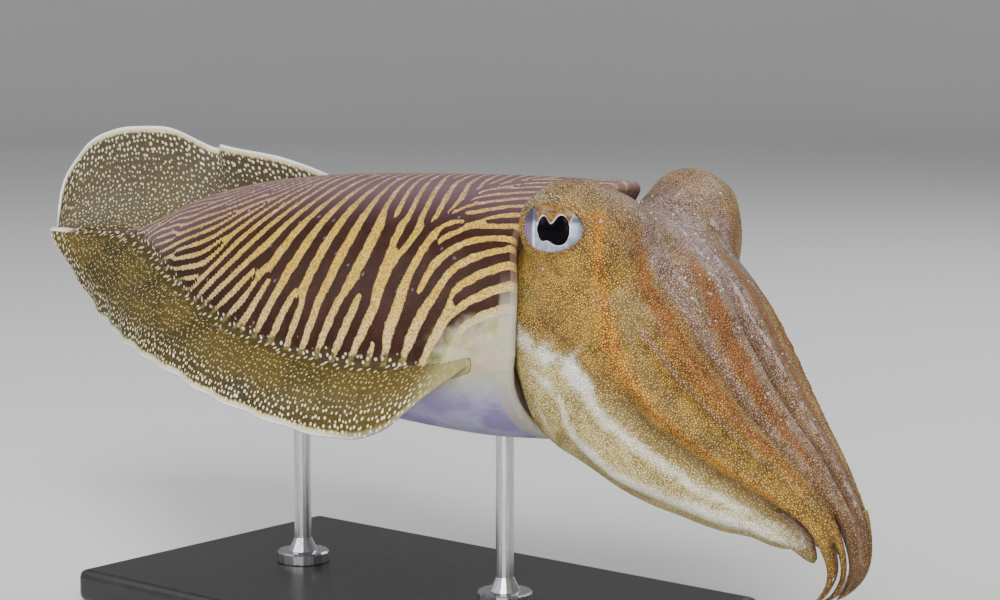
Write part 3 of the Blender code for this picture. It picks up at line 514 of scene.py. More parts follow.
@dataclass(frozen=True)
class EyeForm:
    """One eye's place and axes, and the outline of its W-shaped pupil."""

    side: Side
    place: Triple = (0.0, 0.0325, -0.0115)
    bulge: Triple = (0.017, 0.014, 0.016)
    forward: float = math.radians(13.0)
    upward: float = math.radians(3.0)
    ball: Triple = (0.0158, 0.0141, 0.0148)
    opening: tuple[float, float] = (0.0119, 0.0083)
    opening_middle: tuple[float, float] = (-0.0016, 0.0006)
    lid_ring: tuple[float, float] = (0.0133, 0.0097)
    lid_radius: float = 0.0014
    upper_extra: float = 0.5
    pupil_half_width: float = 0.0056
    pupil_half_height: float = 0.005
    upper_tooth: float = 0.64
    upper_tooth_at: float = -0.1
    lower_tooth: float = 0.28
    lower_tooth_at: float = -0.34
    tooth_width: float = 0.34
    corner_power: float = 3.5
    end_share: float = 0.06

    def frame(self) -> tuple[Array, Array, Array, Array]:
        """The eye's centre in the animal's frame, and its unit axes: outward, forward and up."""
        side = self.side.value
        out = np.array((
            math.sin(self.forward) * math.cos(self.upward),
            side * math.cos(self.forward) * math.cos(self.upward),
            math.sin(self.upward),
        ))
        along = unit(np.cross((0.0, 0.0, 1.0), out) * -side)
        above = np.cross(along, out) * side
        return np.array((self.place[0], side * self.place[1], self.place[2])), out, along, above

    def on_ball(self, a: Array, b: Array, over: float) -> Array:
        """A point over the eyeball at a forward and b up, this far out from its surface."""
        centre, out, along, above = self.frame()
        a, b = np.broadcast_arrays(a, b)
        wide, deep, high = self.ball
        height = deep * np.sqrt(np.maximum(1 - (a / wide) ** 2 - (b / high) ** 2, 0.0)) + over
        return centre + a[..., None] * along + b[..., None] * above + height[..., None] * out

    def pupil_edges(self, across: Array) -> tuple[Array, Array]:
        """Lower and upper edge of the pupil, in metres, at this share of its half width."""
        upper = np.exp(-(((across - self.upper_tooth_at) / self.tooth_width) ** 2))
        lower = np.exp(-(((across - self.lower_tooth_at) / self.tooth_width) ** 2))
        rounding = np.sqrt(np.maximum(1.0 - np.abs(across) ** self.corner_power, self.end_share))
        low, high = -rounding + self.lower_tooth * lower, rounding - self.upper_tooth * upper
        return low * self.pupil_half_height, high * self.pupil_half_height

    def opening_share(self, a: Array, b: Array) -> Array:
        """How far out a place on the ball is in the opening between the lids, 1 at its edge."""
        middle_a, middle_b = self.opening_middle
        return np.hypot((a - middle_a) / self.opening[0], (b - middle_b) / self.opening[1])

    def lid_line(self, turns: Array, ring: tuple[float, float]) -> Array:
        """Points on the eye's bulge round its opening."""
        centre, out, along, above = self.frame()
        middle_a, middle_b = self.opening_middle
        across = along * (middle_a + ring[0] * np.cos(turns))[:, None]
        across = across + above * (middle_b + ring[1] * np.sin(turns))[:, None]
        stretch = np.array(self.bulge)
        a = np.sum((out / stretch) ** 2)
        b = 2 * np.sum(out * across / stretch**2, axis=1)
        c = np.sum((across / stretch) ** 2, axis=1) - 1
        return centre + across + out * ((-b + np.sqrt(b * b - 4 * a * c)) / (2 * a))[:, None]


@dataclass(frozen=True)
class StripeGuide:
    """How the stripes run at one place of the mantle's right side.

    x is the station, arc the distance from the dorsal midline over the skin, direction the angle
    from +X towards the midline in degrees, and period the width of a light and a dark stripe.
    """

    x: float
    arc: float
    direction: float
    period: float


STRIPE_GUIDES = tuple(StripeGuide(*row) for row in (
    (-0.245, 0.006, 0.0, 0.0028), (-0.208, 0.003, 0.0, 0.003),
    (-0.203, 0.021, -22.0, 0.003), (-0.191, 0.036, -18.0, 0.0034),
    (-0.178, 0.047, -12.0, 0.004), (-0.191, 0.013, -7.0, 0.0032),
    (-0.178, 0.027, 7.0, 0.0038), (-0.16, 0.022, 24.0, 0.0042),
    (-0.158, 0.043, 34.0, 0.0052), (-0.158, 0.061, 20.0, 0.0055),
    (-0.142, 0.049, 52.0, 0.0075), (-0.142, 0.066, 30.0, 0.0065),
    (-0.14, 0.005, 70.0, 0.004), (-0.13, 0.033, 54.0, 0.006),
    (-0.122, 0.07, 56.0, 0.0085), (-0.119, 0.046, 76.0, 0.0105),
    (-0.118, 0.021, 80.0, 0.0055), (-0.1, 0.082, 70.0, 0.0075),
    (-0.095, 0.059, 79.0, 0.0115), (-0.09, 0.038, 93.0, 0.009),
    (-0.09, 0.008, 95.0, 0.0045), (-0.072, 0.08, 74.0, 0.008),
    (-0.07, 0.058, 79.0, 0.011), (-0.082, 0.022, 112.0, 0.0055),
    (-0.058, 0.049, 80.0, 0.01), (-0.055, 0.066, 70.0, 0.0095),
    (-0.061, 0.027, 122.0, 0.0062), (-0.055, 0.006, 100.0, 0.0044),
    (-0.045, 0.07, 66.0, 0.008), (-0.038, 0.038, 14.0, 0.0062),
    (-0.036, 0.02, 20.0, 0.0052), (-0.03, 0.055, 38.0, 0.0062),
    (-0.022, 0.062, 25.0, 0.0062), (-0.02, 0.04, 10.0, 0.0058),
    (-0.01, 0.012, 10.0, 0.0046),
))


@dataclass(frozen=True)
class Zebra:
    """The mantle's stripes, grown out of seeded noise by filtering it again and again.

    Each pass keeps only waves of the guides' own direction and period, and brings the result back
    to full contrast, so that stripes run along, fork and end as on the real skin.
    """

    cell: float = 0.0008
    spread: float = 0.009
    angles: int = 16
    periods: tuple[float, ...] = (0.0028, 0.0038, 0.0052, 0.007, 0.0094, 0.0125)
    sharpness: float = 0.24
    passes: int = 7
    x_range: tuple[float, float] = (-0.312, 0.012)
    arc_range: tuple[float, float] = (-0.128, 0.128)

    def guide_fields(self, x: Array, arc: Array) -> tuple[Array, Array]:
        """Wave direction and period all over the grid.

        Args:
            x: Stations of the grid.
            arc: Signed distance from the dorsal midline, positive on the right side.

        Returns:
            The angle of the wave vector in radians, and the period in metres.
        """
        total, period = np.zeros(x.shape), np.zeros(x.shape)
        vector = np.zeros(x.shape, complex)
        for guide in STRIPE_GUIDES:
            weight = np.exp(-((x - guide.x) ** 2 + (np.abs(arc) - guide.arc) ** 2) / self.spread**2) + TINY
            vector += weight * np.exp(1j * math.radians(90.0 - guide.direction))
            period += weight * math.log(guide.period)
            total += weight
        turned = np.angle(vector)
        return np.where(arc < 0, -turned, turned), np.exp(period / total)

    def grow(self) -> tuple[Array, Array, Array]:
        """Grows the stripes.

        Returns:
            The stations and arcs of the grid, and the complex wave at each of its points.
        """
        xs = np.arange(*self.x_range, self.cell)
        arcs = np.arange(*self.arc_range, self.cell)
        x, arc = np.meshgrid(xs, arcs, indexing="ij")
        turned, period = self.guide_fields(x, arc)
        fx, fy = np.meshgrid(*(np.fft.fftfreq(len(line), self.cell) for line in (xs, arcs)), indexing="ij")
        bins = [(math.pi * k / self.angles, p) for k in range(self.angles) for p in self.periods]
        weights = []
        logs = np.log(self.periods)
        place = np.interp(np.log(period), logs, np.arange(len(logs)))
        for angle, p in bins:
            apart = (turned - angle + math.pi / 2) % math.pi - math.pi / 2
            by_angle = np.maximum(1.0 - np.abs(apart) * self.angles / math.pi, 0.0)
            by_period = np.maximum(1.0 - np.abs(place - self.periods.index(p)), 0.0)
            weights.append((by_angle * by_period).astype(np.float32))
        filters = []
        for angle, p in bins:
            width = self.sharpness / p
            away = (fx - math.cos(angle) / p) ** 2 + (fy - math.sin(angle) / p) ** 2
            filters.append(np.exp(-away / (2 * width**2)).astype(np.float32))
        wave = np.random.default_rng(SEED).normal(size=x.shape)
        total = wave.astype(complex)
        for _ in range(self.passes):
            spectrum = np.fft.fft2(wave)
            total = np.zeros(x.shape, complex)
            for (angle, _p), weight, keep in zip(bins, weights, filters):
                if weight.max() > 0:
                    part = np.fft.ifft2(spectrum * keep)
                    total += weight * np.where(np.cos(turned - angle) >= 0, part, part.conj())
            wave = total.real / np.maximum(np.abs(total), TINY)
        return xs, arcs, total / np.maximum(np.abs(total), TINY)


def read_grid(grid: Array, rows: Array, columns: Array) -> Array:
    """Values of a grid between its points, at these fractional rows and columns."""
    rows = np.clip(rows, 0, grid.shape[0] - 1.001)
    columns = np.clip(columns, 0, grid.shape[1] - 1.001)
    i, j = rows.astype(int), columns.astype(int)
    u, v = rows - i, columns - j
    upper = grid[i, j] * (1 - v) + grid[i, j + 1] * v
    lower = grid[i + 1, j] * (1 - v) + grid[i + 1, j + 1] * v
    return upper * (1 - u) + lower * u


@dataclass
class Mantle:
    """The mantle and both fins as one closed skin, with the coordinates that its markings use."""

    form: MantleForm = field(default_factory=MantleForm)
    fins: tuple[FinForm, FinForm] = (RIGHT_FIN, LEFT_FIN)
    zebra: Zebra = field(default_factory=Zebra)
    stations: int = 186
    dorsal_points: int = 54
    fin_points: int = 12
    ventral_points: int = 20
    root_half: float = 0.003
    edge_half: float = 0.00045
    root_power: float = 2.6
    rim_steps: int = 6
    inner_steps: int = 9
    collar: float = 0.0088
    collar_reach: float = 0.32
    rim_start: float = 0.3
    fin_shown: tuple[float, float] = (0.0, 0.0035)
    dot_share: float = 0.6
    dot_samples: int = 600

    def half_ring(self, x: Array, fin: FinForm) -> dict[str, Array]:
        """Half a section on one side, from the dorsal to the ventral midline, for every station.

        Args:
            x: Stations, as a column.
            fin: The fin of this side.

        Returns:
            Points, turns from the dorsal midline, and the share out along the fin.
        """
        form, sign = self.form, -fin.side.value
        level = form.side_level(x)
        above = np.minimum(self.root_half / (form.top(x) - level), 0.5)
        below = np.minimum(self.root_half / (level - form.bottom(x)), 0.5)
        turn_a, turn_b = np.arccos(above), math.pi - np.arccos(below)
        dorsal = turn_a * np.linspace(0, 1, self.dorsal_points + 1)
        shares = np.arange(1, self.fin_points + 1) / self.fin_points
        upper = turn_a + (math.pi / 2 - turn_a) * shares
        lower = turn_b + (math.pi / 2 - turn_b) * shares[::-1]
        ventral = turn_b + (math.pi - turn_b) * np.linspace(0, 1, self.ventral_points + 1)
        edge = np.full_like(x, math.pi / 2)
        turns = np.concatenate([dorsal, upper, edge, lower, ventral], axis=1)
        on_mantle = form.point(x, sign * turns)
        grid_share = np.broadcast_to(np.linspace(0, 1, self.fin_points + 1), (len(x), self.fin_points + 1))
        middle = fin.point(form, x, grid_share)
        along, across = np.gradient(middle, axis=0), np.gradient(middle, axis=1)
        narrow = (fin.width(x) < 1e-5)[:, :, None]
        across = np.where(narrow, np.array((0.0, fin.side.value, 0.0)), across)
        normal = unit(np.cross(along, across)) * fin.side.value
        outward = unit(across)[:, -1:]
        fade = (1 - grid_share) ** self.root_power
        up_half = (self.edge_half + (above * (form.top(x) - level) - self.edge_half) * fade)[..., None]
        down_half = (self.edge_half + (below * (level - form.bottom(x)) - self.edge_half) * fade)[..., None]
        top_face, low_face = middle + normal * up_half, middle - normal * down_half
        tip = middle[:, -1:] + outward * self.edge_half
        fin_points = np.concatenate([top_face[:, 1:], tip, low_face[:, :0:-1]], axis=1)
        first, last = self.dorsal_points + 1, self.dorsal_points + 1 + fin_points.shape[1]
        shown = ease(fin.width(x), *self.fin_shown)[..., None]
        points = on_mantle.copy()
        points[:, first:last] += (fin_points - points[:, first:last]) * shown
        share = np.zeros(turns.shape)
        share[:, first:last] = np.concatenate([shares, [1.0], shares[::-1]]) * shown[..., 0]
        return {"points": points, "turns": turns, "share": share}

    def arcs(self, half: dict[str, Array], x: Array, fin: FinForm) -> Array:
        """Distance of each point of a half ring from the dorsal midline, measured over the skin."""
        last = self.dorsal_points
        steps = np.linalg.norm(np.diff(half["points"][:, : last + 1], axis=1), axis=2)
        arc = np.zeros(half["turns"].shape)
        arc[:, 1 : last + 1] = np.cumsum(steps, axis=1)
        root = arc[:, last : last + 1]
        arc[:, last + 1 :] = root + half["share"][:, last + 1 :] * fin.width(x)
        after = self.dorsal_points + 2 * self.fin_points + 2
        arc[:, after:] = root + np.abs(half["turns"][:, after:] - math.pi / 2) * self.form.half_width(x)
        return arc

    def surface(self) -> Surface:
        """Builds the skin.

        Returns:
            The closed surface in the animal's frame, with the values that its markings read.
        """
        form = self.form
        x = np.linspace(form.tail_x, form.front_x, self.stations)[:, None]
        right, left = (self.half_ring(x, fin) for fin in self.fins)
        arc_right, arc_left = self.arcs(right, x, self.fins[0]), self.arcs(left, x, self.fins[1])

        def whole(a: Array, b: Array) -> Array:
            """Right half rings a and left half rings b as whole rings."""
            return np.concatenate([a, b[:, -2:0:-1]], axis=1)

        points = whole(right["points"], left["points"])
        turns = whole(right["turns"], -left["turns"])
        share = whole(right["share"], left["share"])
        arc = whole(arc_right, -arc_left)
        points[..., 0] += form.shear(x, turns)
        outer = points[-1]
        rings, stations, rims = [points], [np.broadcast_to(x, turns.shape)], [np.zeros(turns.shape)]
        front = np.full((1, 1), form.front_x)
        over_rim = np.linspace(0, math.pi, self.rim_steps + 1)
        insets = form.wall / 2 * (1 - np.cos(over_rim))[1:]
        forward = form.wall / 2 * np.sin(over_rim)[1:]
        places = [(inset, ahead, 0.0) for inset, ahead in zip(insets, forward)]
        for n in range(1, self.inner_steps + 1):
            back = n / self.inner_steps
            places.append((form.wall + self.collar * float(ease(back, 0.0, self.collar_reach)), 0.0, back))
        for inset, ahead, back in places:
            ring = form.point(front, turns[-1:], inset)
            front_x = outer[None, :, 0] + ahead
            ring[..., 0] = front_x + (form.floor_x - front_x) * back
            rings.append(ring)
            stations.append(np.full((1, turns.shape[1]), form.front_x))
            rims.append(np.full((1, turns.shape[1]), max(inset / form.wall, self.rim_start)))
        rings = np.concatenate(rings)
        skin = tube(rings)
        repeat = len(rings) - self.stations
        extra = len(skin.points) - rings[..., 0].size

        def spread(values: Array) -> Array:
            """Values of the outer rings for every point, the last ring's for the margin and inside."""
            full = np.concatenate([values] + [values[-1:]] * repeat).reshape(-1)
            return np.concatenate([full, np.full(extra, full[-1])])

        rim = np.concatenate(rims).reshape(-1)
        skin.values = {
            "along": np.concatenate([np.concatenate(stations).reshape(-1), np.full(extra, form.front_x)]),
            "across": spread(arc), "fin": spread(share), "turn": spread(turns),
            "rim": np.concatenate([rim, np.ones(extra)]),
        }
        values = skin.values
        xs, arcs, wave = self.zebra.grow()
        rows = (values["along"] - xs[0]) / self.zebra.cell
        columns = (values["across"] - arcs[0]) / self.zebra.cell
        read = read_grid(wave, rows, columns)
        values["wave_re"], values["wave_im"] = read.real, read.imag
        widths = np.where(values["across"] > 0, *(fin.width(values["along"]) for fin in self.fins))
        values["fin_edge"] = (1 - values["fin"]) * widths
        fine = np.linspace(form.tail_x, form.front_x, self.dot_samples)
        lengths = []
        for fin in self.fins:
            line = fin.point(form, fine, np.full_like(fine, self.dot_share))
            lengths.append(np.interp(values["along"], fine, line_lengths(line)))
        values["fin_along"] = np.where(values["across"] > 0, *lengths)
        root = np.broadcast_to(arc_right[:, self.dorsal_points : self.dorsal_points + 1], turns.shape)
        values["to_root"] = spread(root) - np.abs(values["across"])
        return skin


def relax(skin: Surface, times: int, factor: float) -> None:
    """Evens out a surface, each point drawn towards the mean of its neighbours."""
    edges = set()
    for face in skin.faces:
        for a, b in zip(face, face[1:] + face[:1]):
            edges.add((a, b) if a < b else (b, a))
    ends = np.array(sorted(edges))
    both = np.concatenate([ends, ends[:, ::-1]])
    count = np.bincount(both[:, 0], minlength=len(skin.points))[:, None]
    for _ in range(times):
        total = np.stack([
            np.bincount(both[:, 0], skin.points[both[:, 1], k], len(skin.points)) for k in range(3)
        ], 1)
        skin.points = skin.points + (total / np.maximum(count, 1) - skin.points) * factor


@dataclass(frozen=True)
class Band:
    """A streak of colour on the head, drawn along the arms.

    Each knot is the distance s along the crown, the turn from its top in degrees, the half width
    in metres and the strength. Both sides have it.
    """

    value: str
    knots: tuple[tuple[float, float, float, float], ...]


BANDS = tuple(Band(*row) for row in (
    ("orange", (
        (0.028, 36, 0.004, 0.0), (0.034, 40, 0.0045, 0.7), (0.04, 54, 0.0045, 0.9),
        (0.047, 66, 0.0045, 1.0), (0.06, 78, 0.005, 1.0), (0.078, 87, 0.0045, 1.0),
        (0.1, 88, 0.0035, 0.8), (0.129, 82, 0.003, 0.5), (0.16, 80, 0.003, 0.4),
    )),
    ("brown", (
        (0.03, 27, 0.004, 0.0), (0.038, 31, 0.004, 0.5), (0.052, 42, 0.0045, 0.8),
        (0.066, 46, 0.0045, 1.0), (0.082, 47, 0.004, 1.0), (0.1, 47, 0.003, 0.8),
        (0.128, 46, 0.002, 0.5), (0.15, 46, 0.002, 0.3),
    )),
    ("brown", (
        (0.04, 8, 0.004, 0.0), (0.05, 12, 0.004, 0.7), (0.062, 17, 0.0042, 1.0), (0.08, 20, 0.0038, 1.0),
        (0.1, 22, 0.003, 0.8), (0.125, 20, 0.002, 0.5),
    )),
    ("violet", (
        (0.034, 22, 0.005, 0.4), (0.044, 26, 0.005, 0.8), (0.053, 30, 0.004, 0.8),
        (0.066, 31, 0.003, 0.7), (0.09, 32, 0.0022, 0.7), (0.125, 34, 0.0015, 0.5),
    )),
    ("violet", (
        (0.01, 0, 0.014, 0.8), (0.026, 0, 0.013, 0.9), (0.036, 3, 0.01, 0.8), (0.046, 3, 0.006, 0.7),
        (0.06, 3, 0.004, 0.6), (0.09, 5, 0.003, 0.5),
    )),
    ("violet", (
        (0.046, 56, 0.002, 0.0), (0.056, 57, 0.0025, 0.5), (0.075, 57, 0.0022, 0.5),
        (0.11, 57, 0.0015, 0.5),
    )),
    ("crown_top", (
        (0.006, 0, 0.016, 0.9), (0.026, 0, 0.016, 1.0), (0.038, 6, 0.013, 0.8), (0.052, 8, 0.008, 0.4),
        (0.06, 8, 0.006, 0.0),
    )),
    ("keel", (
        (0.028, 3, 0.0018, 0.5), (0.044, 4, 0.0012, 0.8), (0.06, 5, 0.0009, 0.9), (0.08, 8, 0.0008, 0.9),
        (0.11, 9, 0.0007, 0.8), (0.14, 9, 0.0006, 0.5),
    )),
    ("keel", (
        (0.03, 14, 0.002, 0.4), (0.04, 20, 0.0016, 0.7), (0.052, 24, 0.0012, 0.8),
        (0.066, 24, 0.001, 0.6), (0.08, 24, 0.0008, 0.0),
    )),
    ("green", (
        (0.014, 36, 0.003, 0.0), (0.02, 38, 0.0035, 0.9), (0.026, 41, 0.003, 0.7),
        (0.03, 44, 0.002, 0.0),
    )),
    ("shade", (
        (0.022, 70, 0.004, 0.0), (0.028, 78, 0.005, 0.8), (0.034, 84, 0.0045, 0.9),
        (0.04, 86, 0.003, 0.6), (0.05, 90, 0.0022, 0.6), (0.07, 98, 0.002, 0.7), (0.1, 99, 0.002, 0.7),
        (0.13, 98, 0.002, 0.5),
    )),
    ("pale", (
        (0.018, 92, 0.004, 0.0), (0.023, 94, 0.0055, 0.8), (0.03, 98, 0.005, 0.6),
        (0.036, 98, 0.0055, 0.9), (0.041, 95, 0.0035, 0.6), (0.046, 94, 0.0055, 1.0),
        (0.054, 98, 0.0042, 0.9), (0.064, 106, 0.003, 0.8), (0.083, 110, 0.0026, 0.8),
        (0.105, 112, 0.0026, 0.8), (0.135, 112, 0.0022, 0.4),
    )),
    ("pale", (
        (0.026, 110, 0.003, 0.0), (0.034, 106, 0.003, 0.7), (0.046, 108, 0.003, 0.7),
        (0.052, 116, 0.0035, 0.8), (0.06, 122, 0.0034, 0.8), (0.076, 126, 0.0034, 0.8),
        (0.095, 128, 0.0044, 0.9), (0.115, 124, 0.005, 0.9), (0.136, 120, 0.003, 0.5),
    )),
    ("pale", (
        (0.034, 112, 0.002, 0.0), (0.04, 122, 0.0026, 0.6), (0.05, 134, 0.0024, 0.5),
        (0.07, 140, 0.003, 0.5), (0.1, 146, 0.004, 0.4), (0.13, 146, 0.003, 0.0),
    )),
))


@dataclass
class Head:
    """The head, the arms and the funnel as closed skins, with the values that their markings read."""

    crown: CrownForm = field(default_factory=CrownForm)
    arms: tuple[ArmForm, ...] = ARMS
    eyes: tuple[EyeForm, ...] = (EyeForm(Side.RIGHT), EyeForm(Side.LEFT))
    head_stations: int = 34
    head_sides: int = 120
    core: Knots = ((0.0495, 0.93), (0.054, 0.84), (0.06, 0.72), (0.068, 0.6))
    arm_step: float = 0.0016
    arm_outer: int = 25
    arm_inner: int = 9
    arm_root_s: float = 0.045
    tip_length: float = 0.02
    tip_overlap: float = 0.005
    voxel: float = 0.00118
    relax_times: int = 3
    relax_factor: float = 0.45
    eye_sunk: float = 0.0012
    lid_points: int = 48
    lip_ring: float = 1.015
    lip_radius: float = 0.0007
    lip_points: int = 90
    lid_sides: int = 12
    lid_shade: tuple[float, float] = (1.08, 1.24)
    inner_start: tuple[float, float] = (0.052, 0.06)
    inner_edge: tuple[float, float] = (0.1, 0.22)
    band_fade: float = 0.004
    funnel_stations: tuple[Triple, ...] = (
        (-0.034, -0.0728, 0.007), (-0.026, -0.0729, 0.0071), (-0.019, -0.0742, 0.0069),
        (-0.013, -0.0775, 0.0066), (-0.007, -0.082, 0.0063), (-0.001, -0.0868, 0.006),
        (0.004, -0.091, 0.0056),
    )
    funnel_bore: float = 0.68
    funnel_sides: int = 40
    funnel_rings: int = 26

    def head_loft(self) -> Surface:
        """The head from the neck to the face that the arms grow from, and a core buried in them."""
        turns = circle(self.head_sides)[None]
        stations = np.linspace(0.0, self.crown.head_end, self.head_stations)[:, None]
        rings = self.crown.head_point(stations, turns)
        core = [self.crown.point(np.full_like(turns, s), turns, share) for s, share in self.core]
        return tube(np.concatenate([rings, *core]))

    def arm_loft(self, arm: ArmForm, side: Side, low: float, high: float) -> Surface:
        """One length of an arm."""
        count = max(int((high - low) / self.arm_step), 4)
        rings = [arm.section(self.crown, side, s, self.arm_outer, self.arm_inner)
                 for s in np.linspace(low, high, count)]
        return tube(np.array(rings))

    def lid_tube(self, eye: EyeForm, ring: tuple[float, float], radius: float, count: int) -> Surface:
        """A rounded rim round the eye's opening, thicker above by a share."""
        turns = circle(count)
        line = eye.lid_line(turns, ring)
        ahead = unit(np.roll(line, -1, 0) - np.roll(line, 1, 0))
        outer = line - eye.frame()[0]
        outer = unit(outer - ahead * (outer * ahead).sum(1, keepdims=True))
        sideways = np.cross(ahead, outer)
        size = radius * (1 + eye.upper_extra * np.maximum(np.sin(turns), 0.0))
        around = circle(self.lid_sides)[None, :, None]
        spokes = outer[:, None] * np.cos(around) + sideways[:, None] * np.sin(around)
        rings = line[:, None] + spokes * size[:, None, None]
        return tube(np.concatenate([rings, rings[:1]]), close_ends=False)

    def funnel(self) -> Surface:
        """The funnel, a bent tube with a blind bore at its tip."""
        knots = np.array(self.funnel_stations)
        t = np.linspace(0, 1, self.funnel_rings)
        line = np.stack([np.interp(t, np.linspace(0, 1, len(knots)), knots[:, k]) for k in range(3)], 1)
        ahead = unit(np.gradient(line[:, :2], axis=0))
        turns = circle(self.funnel_sides)
        places = [(n, 1.0) for n in range(self.funnel_rings)]
        places += [(self.funnel_rings - 1 - n, self.funnel_bore) for n in range(self.funnel_rings // 2)]
        rings = []
        for n, share in places:
            x, z, radius = line[n]
            up = radius * share * np.cos(turns)
            y = radius * share * np.sin(turns)
            rings.append(np.stack([x - ahead[n, 1] * up, y, z + ahead[n, 0] * up], 1))
        return tube(np.array(rings))

    def blended(self) -> Surface:
        """Head and arms made one smooth skin, without the arms' tips."""
        pieces = [self.head_loft()]
        for side in Side:
            for arm in self.arms:
                pieces.append(self.arm_loft(arm, side, self.arm_root_s, arm.end_s - self.tip_length))
        for eye in self.eyes:
            pieces.append(self.lid_tube(eye, eye.lid_ring, eye.lid_radius, self.lid_points))
        joined = join(pieces)
        source = mesh_object("crown_lofts", joined, [])
        remesh = source.modifiers.new("blend", "REMESH")
        remesh.mode = "VOXEL"
        remesh.voxel_size = self.voxel
        mesh = baked(source)
        points = np.empty(len(mesh.vertices) * 3)
        mesh.vertices.foreach_get("co", points)
        corners = np.empty(len(mesh.loops), int)
        mesh.loops.foreach_get("vertex_index", corners)
        starts = np.empty(len(mesh.polygons), int)
        mesh.polygons.foreach_get("loop_start", starts)
        faces = [tuple(f.tolist()) for f in np.split(corners, starts[1:])]
        bpy.data.meshes.remove(mesh)
        skin = Surface(points.reshape(-1, 3) - LOBE_TIP, faces)
        relax(skin, self.relax_times, self.relax_factor)
        for eye in self.eyes:
            self.open_eye(skin, eye)
        return skin

    def open_eye(self, skin: Surface, eye: EyeForm) -> None:
        """Draws the skin inside the lids back under the eyeball."""
        centre, out, along, above = eye.frame()
        offset = skin.points - centre
        a, b, height = offset @ along, offset @ above, offset @ out
        inside = (eye.opening_share(a, b) < 1.0) & (height > 0) & (height < 2 * eye.ball[1])
        sunk = eye.on_ball(a, b, -self.eye_sunk)
        skin.points[inside] = sunk[inside]

    def surface(self) -> Surface:
        """Builds all of the head's skin.

        Returns:
            The surface in the animal's frame, with the values that its markings read.
        """
        pieces = [self.blended()]
        for side in Side:
            for arm in self.arms:
                low = arm.end_s - self.tip_length - self.tip_overlap
                pieces.append(self.arm_loft(arm, side, low, arm.end_s))
        for eye in self.eyes:
            ring = tuple(self.lip_ring * size for size in eye.opening)
            pieces.append(self.lid_tube(eye, ring, self.lip_radius, self.lip_points))
        for piece in pieces:
            piece.values["funnel"] = np.zeros(len(piece.points))
        funnel = self.funnel()
        funnel.values["funnel"] = np.ones(len(funnel.points))
        skin = join([*pieces, funnel])
        s, turn, share = self.crown.coordinates(skin.points)
        values = skin.values
        values.update({"along": s, "turn": turn, "share": share})
        low, high = (self.arms[0].hollow(s) + above for above in self.inner_edge)
        values["inner"] = ease(s, *self.inner_start) * (1 - ease(share, low, high))
        # Painted shade in the crease round each eye's opening, strongest below the eye.
        values["lid"] = np.zeros(len(s))
        for eye in self.eyes:
            centre, out, along, above = eye.frame()
            offset = skin.points - centre
            a, b = offset @ along, offset @ above
            ring_share = eye.opening_share(a, b)
            low = 0.35 + 0.65 * ease(-b, -0.002, 0.004)
            near = (1 - ease(ring_share, *self.lid_shade)) * low * ((offset @ out) > 0)
            values["lid"] = np.maximum(values["lid"], near)
        radius = (self.crown.half_width(s) + self.crown.half_height(s, turn)) / 2
        for band in BANDS:
            knots = np.array(band.knots)
            middle = np.radians(np.interp(s, knots[:, 0], knots[:, 1]))
            width = np.interp(s, knots[:, 0], knots[:, 2])
            first, last = knots[0, 0], knots[-1, 0]
            ends = ease(s, first - self.band_fade, first) * (1 - ease(s, last, last + self.band_fade))
            strength = np.interp(s, knots[:, 0], knots[:, 3]) * ends
            away = (np.abs(turn) - middle) * radius / width
            mask = strength * np.exp(-(away**2))
            before = values.get(band.value, np.zeros(len(s)))
            values[band.value] = np.maximum(before, mask)
        return skin


def join(pieces: list[Surface]) -> Surface:
    """Several surfaces as one, whose missing values are 0."""
    names = sorted({name for piece in pieces for name in piece.values})
    faces, start = [], 0
    for piece in pieces:
        faces += [tuple(n + start for n in face) for face in piece.faces]
        start += len(piece.points)
    values = {
        name: np.concatenate([piece.values.get(name, np.zeros(len(piece.points))) for piece in pieces])
        for name in names
    }
    return Surface(np.vstack([piece.points for piece in pieces]), faces, values)


def placed(name: str, data: ID) -> Object:
    """A new object with this data, linked to the scene."""
    made = bpy.data.objects.new(name, data)
    bpy.context.scene.collection.objects.link(made)
    return made


def baked(source: Object) -> Mesh:
    """The mesh that an object's modifiers make of it. The object itself goes."""
    graph = bpy.context.evaluated_depsgraph_get()
    mesh = bpy.data.meshes.new_from_object(source.evaluated_get(graph))
    bpy.data.objects.remove(source)
    return mesh


def turned_rings(profile: Knots, sides: int) -> Array:
    """Rings round Z, one for each (radius, height) point."""
    turns, radius, height = circle(sides), *np.array(profile).T
    flat = [np.outer(radius, np.cos(turns)), np.outer(radius, np.sin(turns))]
    return np.stack([*flat, np.repeat(height[:, None], sides, 1)], -1)


def add_node(tree: NodeTree, kind: str, settings: Settings, sockets: Sockets) -> Node:
    """Makes a node.

    Args:
        tree: The tree that gets it.
        kind: Its type.
        settings: Its properties, which are set first.
        sockets: Input sockets by name or place, each another node's output or a value.

    Returns:
        The node.
    """
    made = tree.nodes.new(kind)
    for key, value in settings.items():
        setattr(made, key, value)
    for key, value in sockets.items():
        if isinstance(value, NodeSocket):
            tree.links.new(value, made.inputs[key])
        elif made.inputs[key].type == "RGBA" and len(value) == 3:
            made.inputs[key].default_value = (*value, 1.0)
        else:
            made.inputs[key].default_value = value
    return made


